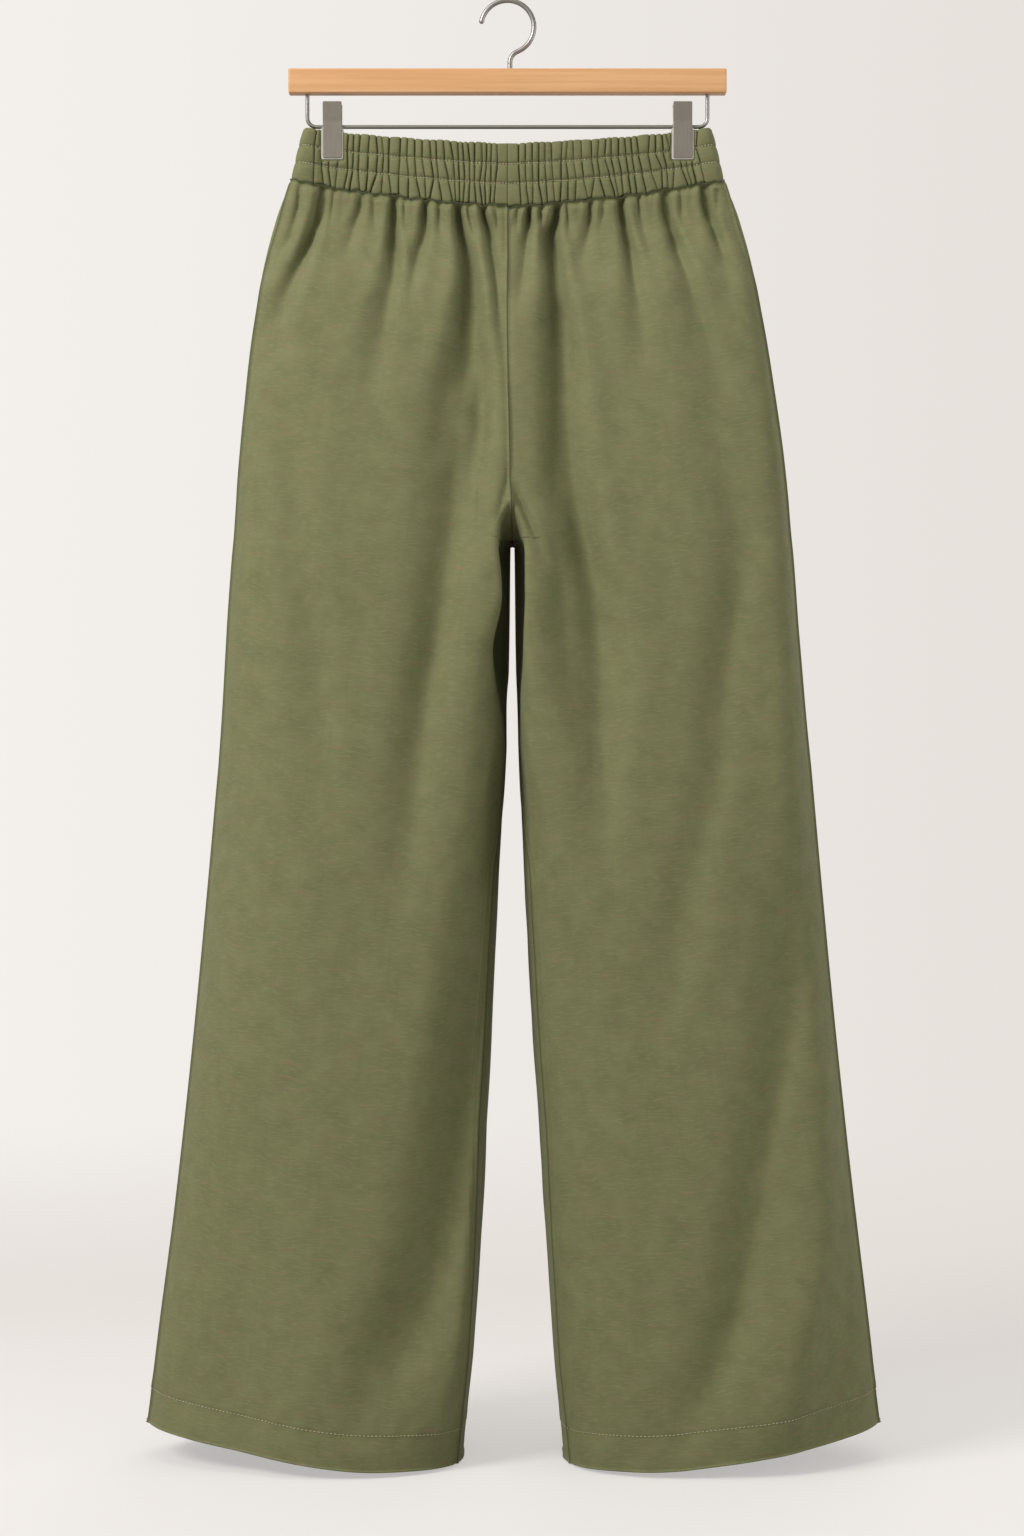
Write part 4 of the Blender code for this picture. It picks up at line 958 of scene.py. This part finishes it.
def band_row(side, channel, t, lines, strength, heights):
    """One row of points of a quarter of the band, at t from the top of a channel to its foot,
    and the painted shade in its creases, stitch rows and seams there."""
    share = CHANNELS[channel] + t * (CHANNELS[channel + 1] - CHANNELS[channel])
    half = band_half_width(share)
    way = 0.5 * (t + smooth_step(t))
    creases = lines[channel] + way * (lines[channel + 1] - lines[channel])
    inside = gather_columns(creases)
    to_side = (half - inside[-1]) * np.linspace(0.0, 1.0, END_COLUMNS + 1)[1:] ** 0.8
    x = np.concatenate([inside, inside[-1] + to_side])

    nearest = np.argmin(np.abs(x[:, None] - creases[None]), axis=1)
    away = np.abs(x - creases[nearest])
    gap = np.searchsorted(creases, x, side="right")
    low = np.concatenate([[0.0], creases])[gap]
    high = np.concatenate([creases, [half]])[gap]
    across = np.clip(2.0 * (x - low) / (high - low) - 1.0, -1.0, 1.0)
    to_middle = 2.0 * (t - 0.5) ** 2
    other = max(channel - 1, 0) if t < 0.5 else min(channel + 1, 2)
    deep = strength[channel] + to_middle * (strength[other] - strength[channel])
    tall = heights[channel] + to_middle * (heights[other] - heights[channel])
    line = np.exp(-(away / CREASE_WIDTH) ** 1.3) * deep[nearest]
    narrow = np.clip((high - low) / 6.0, 0.3, 1.0)
    swell = tall[gap] * narrow * (1.0 - np.abs(across) ** 2.4)
    swell = np.where((gap == 0) | (gap == len(creases)), 0.25 * swell, swell)
    near_row = min(t if channel > 0 else 1.0, 1.0 - t if channel < 2 else 1.0)
    calm = 0.55 + 0.45 * smooth_step(near_row / 0.2)
    form = calm * (GATHER_SWELL * swell - CREASE_DEPTH * line)
    # Painted shade in the gather creases, with more added at the waist seam, stitch rows and centre
    # seam below.
    painted_band_shade = 0.75 * calm * np.exp(-(away / 0.36) ** 1.3) * deep[nearest]

    flat_end = 1.0 - 0.6 * smooth_step((x - creases[-1]) / 5.0)
    puff = CHANNEL_PUFF * (1.0 - abs(2.0 * t - 1.0) ** 2.2) + np.zeros_like(x)
    to_row = BAND_HEIGHT * (CHANNELS[channel + 1] - CHANNELS[channel]) * min(t, 1.0 - t)
    level = band_level(share, x, half) + 0.3 * np.sin(x / 4.7 + 2.0 * channel)
    if channel == 2 and t > 0.5:
        puff -= SEAM_DIP * hump(to_row, 0.8)
        level = level + seam_ruck(side * x) * math.exp(-to_row / RUCK_FADE)
        painted_band_shade = painted_band_shade + 0.85 * hump(to_row, 0.5)
    elif channel > 0 or t > 0.5:
        puff -= flat_end * (STITCH_DIP * hump(to_row, 0.8)
                            + 0.3 * hump(to_row, 2.0) * np.sin(side * x * 2.1))
        painted_band_shade = painted_band_shade + 0.18 * hump(to_row, 0.6)
    else:
        level = level + TOP_SCALLOP * line * math.exp(-to_row / 2.5)
    under_jaw = 1.0 - smooth_step((level - CLIP_BOTTOM_LEVEL - 0.8) / 3.0)
    beside_jaw = smooth_step((np.abs(x - CLIP_X) - 0.5 * CLIP_WIDTH - 0.8) / 2.0)
    free = 1.0 - under_jaw * (1.0 - beside_jaw)
    closing = smooth_step((half - x) / 5.0)
    seam_dip = 0.5 * hump(x, 0.6) + 0.8 * hump(half - x, 0.8)
    painted_band_shade = painted_band_shade * free + 0.35 * hump(x, 0.4)
    depth = waist_depth(x, half) + (form + puff) * free * closing - seam_dip
    depth = np.maximum(depth, waist_depth(x, half) - BAND_WALL + 0.5)
    x = x + 0.5 * smooth_step((x / half - SIDE_TUCK) / (1.0 - SIDE_TUCK)) * (puff - 1.0)
    level = level + 2.0 * (1.0 - share) * (1.0 - smooth_step((half - x) / 3.4))
    return np.column_stack([x, np.maximum(depth, SEAM_CLOSE), level]), painted_band_shade


def inside_depth(edge, share):
    """Depth of the band's inner face behind a row of points of its outer one."""
    depth = waist_depth(edge[:, 0], band_half_width(share)) - BAND_WALL
    return np.minimum(np.maximum(depth, SEAM_CLOSE), edge[:, 1])


def band_points(side, face, seed):
    """Points of a quarter of the band, from the seam up its face, over the top and inside."""
    dice = random.Random(90 + seed)
    lines = crease_lines(side, face, dice)
    count = lines.shape[1]
    strength = np.array([[dice.uniform(0.35, 1.0) for _ in range(count)] for _ in range(3)])
    heights = np.array([[dice.uniform(0.3, 1.3) for _ in range(count + 1)] for _ in range(3)])
    rows = [(channel, step / CHANNEL_ROWS) for channel in range(3) for step in range(CHANNEL_ROWS)]
    made = [band_row(side, channel, t, lines, strength, heights)
            for channel, t in rows + [(2, 1.0)]][::-1]
    top, bottom = made[-1][0], made[0][0]
    behind = inside_depth(top, 0.0)
    middle, radius = 0.5 * (top[:, 1] + behind), 0.5 * (top[:, 1] - behind)
    closed = []
    for angle in np.linspace(0.0, math.pi, ROLL_STEPS + 2)[1:-1]:
        closed.append(np.column_stack([top[:, 0], middle + radius * math.cos(angle),
                                       top[:, 2] - 0.9 * math.sin(angle)]))
    closed.append(np.column_stack([top[:, 0], behind, top[:, 2] + 0.4]))
    closed.append(np.column_stack([bottom[:, 0], inside_depth(bottom, 1.0), bottom[:, 2]]))
    points = np.array([line for line, _ in made] + closed)
    points[:, :, 0] = side * np.maximum(points[:, :, 0], SEAM_CLOSE)
    points[:, :, 1] *= face
    points[:, :, 2] *= -1.0
    painted_shade = np.array([painted_band_shade for _, painted_band_shade in made] + [np.zeros(len(top))] * len(closed))
    stitch_lines = [points[len(rows) - row] for row in (CHANNEL_ROWS, 2 * CHANNEL_ROWS)]
    return points, stitch_lines, np.clip(painted_shade, 0.0, 1.0)


def close_ends(data):
    mesh = bmesh.new()
    mesh.from_mesh(data)
    bmesh.ops.holes_fill(mesh, edges=[e for e in mesh.edges if e.is_boundary], sides=0)
    bmesh.ops.recalc_face_normals(mesh, faces=mesh.faces[:])
    mesh.to_mesh(data)
    mesh.free()


band_lines = []                 # stitch rows of the band, from its own points
for seed, (side, face, quarter) in enumerate(QUARTERS, start=1):
    node = f"band_{quarter}"
    points, stitch_lines, painted_shade = band_points(side, face, seed)
    band_lines += [(line[2:-8], face) for line in stitch_lines]
    weft, warp = thread_map(points)
    cloth_uv = np.stack([weft + 300.0 * seed + 77.0, warp], axis=2)
    band = add_piece(f"{node}_piece", grid_mesh(f"{node}_piece", points, cloth_uv, painted_shade,
                                                side * face > 0), OLIVE_CLOTH)
    close_ends(band.data)
    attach(band, "root")
    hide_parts(node)


# ---- Stitching -----------------------------------------------------------------------------
# Spun polyester thread, a shade lighter than the cloth: two rows of lockstitch round the
# band and one round each hem. Each stitch lies on the cloth and dips in at its ends.
THREAD_COLOUR = (0.52, 0.47, 0.31)
THREAD_PROUD = 0.42


def stitch_tree():
    """Geometry nodes: one small spindle for each stitch along every edge path."""
    tree = bpy.data.node_groups.new("running_stitch", "GeometryNodeTree")
    for name, kind in (("Geometry", "Geometry"), ("Pitch", "Float"), ("Length", "Float"),
                       ("Radius", "Float"), ("Thread", "Material")):
        tree.interface.new_socket(name, in_out="INPUT", socket_type=f"NodeSocket{kind}")
    tree.interface.new_socket("Geometry", in_out="OUTPUT", socket_type="NodeSocketGeometry")
    given = add_node(tree, "NodeGroupInput").outputs
    path = add_node(tree, "GeometryNodeMeshToCurve", {"Mesh": given["Geometry"]})
    even = add_node(tree, "GeometryNodeResampleCurve", {"Curve": path, "Length": given["Pitch"]},
                    mode="LENGTH")
    spindle = add_node(tree, "GeometryNodeMeshUVSphere", {"Segments": 6, "Rings": 5, "Radius": 1.0})
    tangent = add_node(tree, "GeometryNodeInputTangent")
    align = add_node(tree, "FunctionNodeAlignEulerToVector", {"Vector": tangent}, axis="X")
    size = add_node(tree, "ShaderNodeCombineXYZ", {
        "X": add_math(tree, "MULTIPLY", given["Length"], 0.5),
        "Y": given["Radius"], "Z": given["Radius"]})
    put = add_node(tree, "GeometryNodeInstanceOnPoints", {
        "Points": even, "Instance": spindle, "Rotation": align, "Scale": size})
    real = add_node(tree, "GeometryNodeRealizeInstances", {"Geometry": put})
    smooth = add_node(tree, "GeometryNodeSetShadeSmooth", {"Geometry": real})
    finish = add_node(tree, "GeometryNodeSetMaterial", {"Geometry": smooth,
                                                        "Material": given["Thread"]})
    add_node(tree, "NodeGroupOutput", {"Geometry": finish})
    return tree


THREAD = new_material("lighter_thread", {"Base Color": THREAD_COLOUR, "Roughness": 0.6})[0]
STITCHES = stitch_tree()


def made_real(name, holder):
    """The finished shape of an object as one plain mesh. The object itself is taken away."""
    bpy.context.view_layer.update()
    data = bpy.data.meshes.new_from_object(
        holder.evaluated_get(bpy.context.evaluated_depsgraph_get()))
    bpy.data.objects.remove(holder)
    data.name = name
    return data


def sew(name, lines, pitch, length, radius):
    """Stitches along lines of points in mm."""
    corners, edges = [], []
    for line, face in lines:
        start = len(corners)
        corners += ((line + [0.0, face * THREAD_PROUD, 0.0]) * MM).tolist()
        edges += [(start + i, start + i + 1) for i in range(len(line) - 1)]
    guide_data = bpy.data.meshes.new(f"{name}_path")
    guide_data.from_pydata(corners, edges, [])
    guide = add_piece(f"{name}_path", guide_data)
    sewing = guide.modifiers.new("sewing", "NODES")
    sewing.node_group = STITCHES
    sockets = {item.name: item.identifier for item in STITCHES.interface.items_tree
               if item.in_out == "INPUT"}
    sewing[sockets["Pitch"]] = pitch * MM
    sewing[sockets["Length"]] = length * MM
    sewing[sockets["Radius"]] = radius * MM
    sewing[sockets["Thread"]] = THREAD
    stitches = add_piece(name, made_real(name, guide))
    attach(stitches, "root")


sew("band_stitches", band_lines, 2.6, 1.7, 0.42)
sew("hem_stitches", hem_lines, 3.2, 2.2, 0.30)


# ---- Hanger bar ----------------------------------------------------------------------------
# A straight stick of beech, planed to 13 by 20 mm with its edges eased, sanded and given a
# clear satin lacquer. The hook and the clip wire are pushed into holes drilled in it.
BAR_EASE = 1.4
BEECH_DARK = (0.53, 0.255, 0.096)
BEECH = (0.715, 0.378, 0.160)
BEECH_PALE = (0.79, 0.45, 0.215)


def beech_material():
    material, tree, shader = new_material("lacquered_beech", {
        "Base Color": BEECH, "Roughness": 0.42, "Coat Weight": 0.25, "Coat Roughness": 0.28})
    place = add_node(tree, "ShaderNodeTexCoord").outputs["Object"]
    grain = add_streaks(tree, place, 7.0, 420.0, 0.42)
    pores = add_streaks(tree, place, 60.0, 1500.0, 0.55)
    bands = add_streaks(tree, place, 2.2, 90.0, 0.40)
    colour = mix_colours(tree, bands, BEECH, BEECH_PALE)
    colour = tint(tree, colour, grain, 0.24, BEECH_DARK)
    colour = tint(tree, colour, pores, 0.28, BEECH_DARK)
    bump = add_node(tree, "ShaderNodeBump", {"Height": add_math(tree, "SUBTRACT", 1.0, pores),
                                             "Strength": 0.25, "Distance": BUMP_HEIGHT})
    feed(tree, shader, {"Base Color": colour, "Normal": bump})
    return material


def made_mesh(name, mesh):
    data = bpy.data.meshes.new(name)
    mesh.to_mesh(data)
    mesh.free()
    return data


low, high = (Vector(corner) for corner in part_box("hanger_bar"))
stick = bmesh.new()
bmesh.ops.create_cube(stick, size=1.0)
for corner in stick.verts:
    corner.co = Vector([(low[k] + high[k]) / 2 + corner.co[k] * (high[k] - low[k])
                        for k in range(3)])
bmesh.ops.bevel(stick, geom=stick.edges[:], offset=BAR_EASE * MM, segments=5, profile=0.5,
                affect="EDGES")
stick_data = made_mesh("beech_bar", stick)
stick_data.shade_smooth()
bar = add_piece("beech_bar", stick_data, beech_material())
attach(bar, "root")
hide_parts("hanger_bar")


# ---- Hook and clip wire --------------------------------------------------------------------
# Two lengths of bright drawn steel wire, 4 mm for the hook and 3.2 mm for the rail of the
# clips, bent cold round formers and cut square; the hook's free end is rounded off.
WIRE_GREY = (0.37, 0.355, 0.335)
HOOK_BEND = 21.2
HOOK_RADIUS = 2.0
HOOK_START, HOOK_END = 168.0, -68.0     # of its round part, degrees
SHANK_X = 2.0
BAR_TOP_LEVEL, BAR_BOTTOM_LEVEL = 53.4, 73.1
WIRE_LEVEL = 99.2
WIRE_RADIUS = 1.6
WIRE_HALF_SPAN = 160.0
WIRE_BEND = 7.0
WIRE_SIDES = 20


def arc(centre_x, centre_level, radius, start, end, steps):
    angles = np.radians(np.linspace(start, end, steps + 1))
    return [(centre_x + radius * math.cos(a), centre_level - radius * math.sin(a))
            for a in angles]


def wire_mesh(name, path, radius, round_start):
    """A round bar swept along a path in the middle plane, with closed ends."""
    path = np.array([(x, 0.0, -level) for x, level in path])
    tangents = np.gradient(path, axis=0)
    tangents /= np.linalg.norm(tangents, axis=1, keepdims=True)
    rings = [(point, tangent, radius) for point, tangent in zip(path, tangents)]
    if round_start:
        start, forward = path[0], tangents[0]
        cap = [(start - forward * radius * math.sin(a), forward, radius * math.cos(a))
               for a in np.radians([80, 60, 40, 20])]
        rings = cap + rings
    mesh = bmesh.new()
    loops = []
    for point, tangent, size in rings:
        sideways = np.array([tangent[2], 0.0, -tangent[0]])
        loops.append([mesh.verts.new([c * MM for c in point + size * (
            sideways * math.cos(a) + np.array([0.0, 1.0, 0.0]) * math.sin(a))])
            for a in np.linspace(0.0, 2.0 * math.pi, WIRE_SIDES, endpoint=False)])
    for first, second in zip(loops, loops[1:]):
        for i in range(WIRE_SIDES):
            j = (i + 1) % WIRE_SIDES
            mesh.faces.new((first[i], first[j], second[j], second[i]))
    mesh.faces.new(loops[0])
    mesh.faces.new(loops[-1][::-1])
    bmesh.ops.recalc_face_normals(mesh, faces=mesh.faces[:])
    data = made_mesh(name, mesh)
    data.shade_smooth()
    data.set_sharp_from_angle(angle=math.radians(50.0))
    return data


def wire_material():
    material, tree, shader = new_material("drawn_wire", {"Base Color": WIRE_GREY,
                                                         "Metallic": 1.0})
    place = add_node(tree, "ShaderNodeTexCoord").outputs["Object"]
    drawn = add_streaks(tree, place, 90.0, 900.0, 0.45)
    feed(tree, shader, {"Roughness": between(tree, drawn, 0.42, 0.48)})
    return material


DRAWN_WIRE = wire_material()
hook_centre = HOOK_BEND - HOOK_RADIUS
end = math.radians(HOOK_END)
turn = arc(0.0, hook_centre, HOOK_BEND, HOOK_START, HOOK_END, 64)
neck_bend = (turn[-1][0] - SHANK_X) / (1.0 - math.cos(end))
neck = arc(SHANK_X + neck_bend, hook_centre - (HOOK_BEND + neck_bend) * math.sin(end),
           neck_bend, 180.0 + HOOK_END, 180.0, 14)
hook_path = turn + neck[1:] + [(SHANK_X, BAR_TOP_LEVEL - 1.5), (SHANK_X, BAR_TOP_LEVEL)]
hook = add_piece("hook_wire", wire_mesh("hook_wire", hook_path, HOOK_RADIUS, True),
                 DRAWN_WIRE)
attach(hook, "root")
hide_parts("hanger_hook")

corner_x, corner_level = WIRE_HALF_SPAN - WIRE_BEND, WIRE_LEVEL - WIRE_BEND
rail_path = ([(-WIRE_HALF_SPAN, BAR_BOTTOM_LEVEL)]
             + arc(-corner_x, corner_level, WIRE_BEND, 180, 270, 12)
             + arc(corner_x, corner_level, WIRE_BEND, 270, 360, 12)
             + [(WIRE_HALF_SPAN, BAR_BOTTOM_LEVEL)])
rail = add_piece("clip_rail", wire_mesh("clip_rail", rail_path, WIRE_RADIUS, False),
                 DRAWN_WIRE)
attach(rail, "root")
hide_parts("clip_wire")


# ---- Clips ---------------------------------------------------------------------------------
# Each clip is two plates of pressed steel, satin plated, closed by a coil spring round the
# rail. A thin soft pad behind each jaw stands out a little round its edge and grips the cloth.
PLATE_STEEL, PLATE_SHEEN = (0.29, 0.266, 0.228), (0.35, 0.325, 0.28)
PAD_GREY = (0.60, 0.58, 0.54)
CLIP_TOP_LEVEL = 79.8
CLIP_SHEET = 1.2
CLIP_LEAN = 1.8
CLIP_CORNER = 1.2
CLIP_BEND = WIRE_LEVEL - 4.0    # above this level the plate leans out as a finger tab
CLIP_INSET = 1.2                # the pad shows round the plate's edge
JAW = PINCH_GAP + BAND_WALL + 0.6
PAD_THICK = 0.38
PAD_PROUD = 1.1
PAD_SINK = 0.25                 # how far it goes into the plate's inner side
SPRING_TURNS, SPRING_STEPS = 7, 20
SPRING_WIRE = 0.55
SPRING_GREY = (0.33, 0.32, 0.30)


def plate_outline(width, top, bottom, corner):
    """A rectangle with rounded corners, as (x, level) points."""
    points = []
    for sx, level, start in ((1, top, 0), (-1, top, 90), (-1, bottom, 180), (1, bottom, 270)):
        centre = (sx * (0.5 * width - corner),
                  level + corner if level == top else level - corner)
        points += arc(centre[0], centre[1], corner, start, start + 90, 5)
    return points


def plate_mesh(name, x, outline, depth_at, thick, face, rounding):
    """A pressed sheet over an outline, bent by depth_at(level), with eased edges."""
    mesh = bmesh.new()
    mesh.faces.new([mesh.verts.new(((x + px) * MM, 0.0, -level * MM))
                    for px, level in outline])
    bmesh.ops.bisect_plane(mesh, geom=mesh.verts[:] + mesh.edges[:] + mesh.faces[:],
                           plane_co=(0.0, 0.0, -CLIP_BEND * MM), plane_no=(0.0, 0.0, 1.0))
    grown = bmesh.ops.extrude_face_region(mesh, geom=mesh.faces[:])
    back = {v for v in grown["geom"] if isinstance(v, bmesh.types.BMVert)}
    for corner in mesh.verts:
        level = -corner.co.z / MM
        corner.co.y = face * (depth_at(level) + (thick if corner in back else 0.0)) * MM
    bmesh.ops.recalc_face_normals(mesh, faces=mesh.faces[:])
    rim = [e for e in mesh.edges if len(e.link_faces) == 2
           and e.calc_face_angle(0.0) > math.radians(60.0)]
    bmesh.ops.bevel(mesh, geom=rim, offset=rounding * MM, segments=2, profile=0.5,
                    affect="EDGES")
    return made_mesh(name, mesh)


def tab_depth(level):
    return JAW + CLIP_LEAN * max(CLIP_BEND - level, 0.0) / (CLIP_BEND - CLIP_TOP_LEVEL)


def pad_depth(level):
    return JAW - PAD_THICK + PAD_SINK


def plate_material():
    material, tree, shader = new_material("satin_plate", {"Base Color": PLATE_STEEL,
                                                          "Metallic": 0.6})
    place = add_node(tree, "ShaderNodeTexCoord").outputs["Object"]
    upright = add_node(tree, "ShaderNodeMapping", {"Vector": place,
                                                   "Rotation": (0.0, math.radians(90.0), 0.0)})
    brushing = add_streaks(tree, upright, 60.0, 2400.0, 0.40)
    feed(tree, shader, {"Roughness": between(tree, brushing, 0.38, 0.52),
                        "Base Color": tint(tree, PLATE_STEEL, brushing, 0.35, PLATE_SHEEN)})
    return material


def spring_mesh(name, clip_x):
    """A coil of wire wound round the rail between the two plates."""
    reach, radius = 0.5 * CLIP_WIDTH - 2.4, JAW - 0.3 - SPRING_WIRE
    curve = bpy.data.curves.new("spring", "CURVE")
    curve.dimensions = "3D"
    curve.bevel_depth = SPRING_WIRE * MM
    curve.bevel_resolution = 2
    curve.use_fill_caps = True
    spline = curve.splines.new("POLY")
    spline.points.add(SPRING_TURNS * SPRING_STEPS)
    for i, knot in enumerate(spline.points):
        angle = 2.0 * math.pi * i / SPRING_STEPS
        run = reach * (2.0 * i / (SPRING_TURNS * SPRING_STEPS) - 1.0)
        knot.co = ((clip_x + run) * MM, radius * math.cos(angle) * MM,
                   (radius * math.sin(angle) - WIRE_LEVEL) * MM, 1.0)
    return made_real(name, add_piece("spring", curve))


SATIN_PLATE = plate_material()
PAD = new_material("soft_pad", {"Base Color": PAD_GREY, "Roughness": 0.5})[0]
SPRING_STEEL = new_material("spring_steel", {"Base Color": SPRING_GREY, "Roughness": 0.32,
                                             "Metallic": 1.0})[0]

for side, side_name in ((LEFT, "left"), (RIGHT, "right")):
    clip_x = side * CLIP_X
    for face, face_name in ((FRONT, "front"), (BACK, "back")):
        name = f"clip_{face_name}_{side_name}"
        outline = plate_outline(CLIP_WIDTH - CLIP_INSET, CLIP_TOP_LEVEL, CLIP_BOTTOM_LEVEL - 0.7,
                                CLIP_CORNER)
        plate = add_piece(f"{name}_plate", plate_mesh(f"{name}_plate", clip_x, outline, tab_depth,
                                                      CLIP_SHEET, face, 0.3), SATIN_PLATE)
        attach(plate, "root")
        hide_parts(name)
        outline = plate_outline(CLIP_WIDTH + PAD_PROUD, WIRE_LEVEL + 1.0,
                                CLIP_BOTTOM_LEVEL + 0.4, CLIP_CORNER)
        pad = add_piece(f"{name}_pad", plate_mesh(f"{name}_pad", clip_x, outline, pad_depth,
                                                  PAD_THICK, face, 0.1), PAD)
        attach(pad, "root")
    name = f"clip_spring_{side_name}"
    spring = add_piece(f"{name}_coil", spring_mesh(f"{name}_coil", clip_x), SPRING_STEEL)
    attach(spring, "root")
    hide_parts(name)
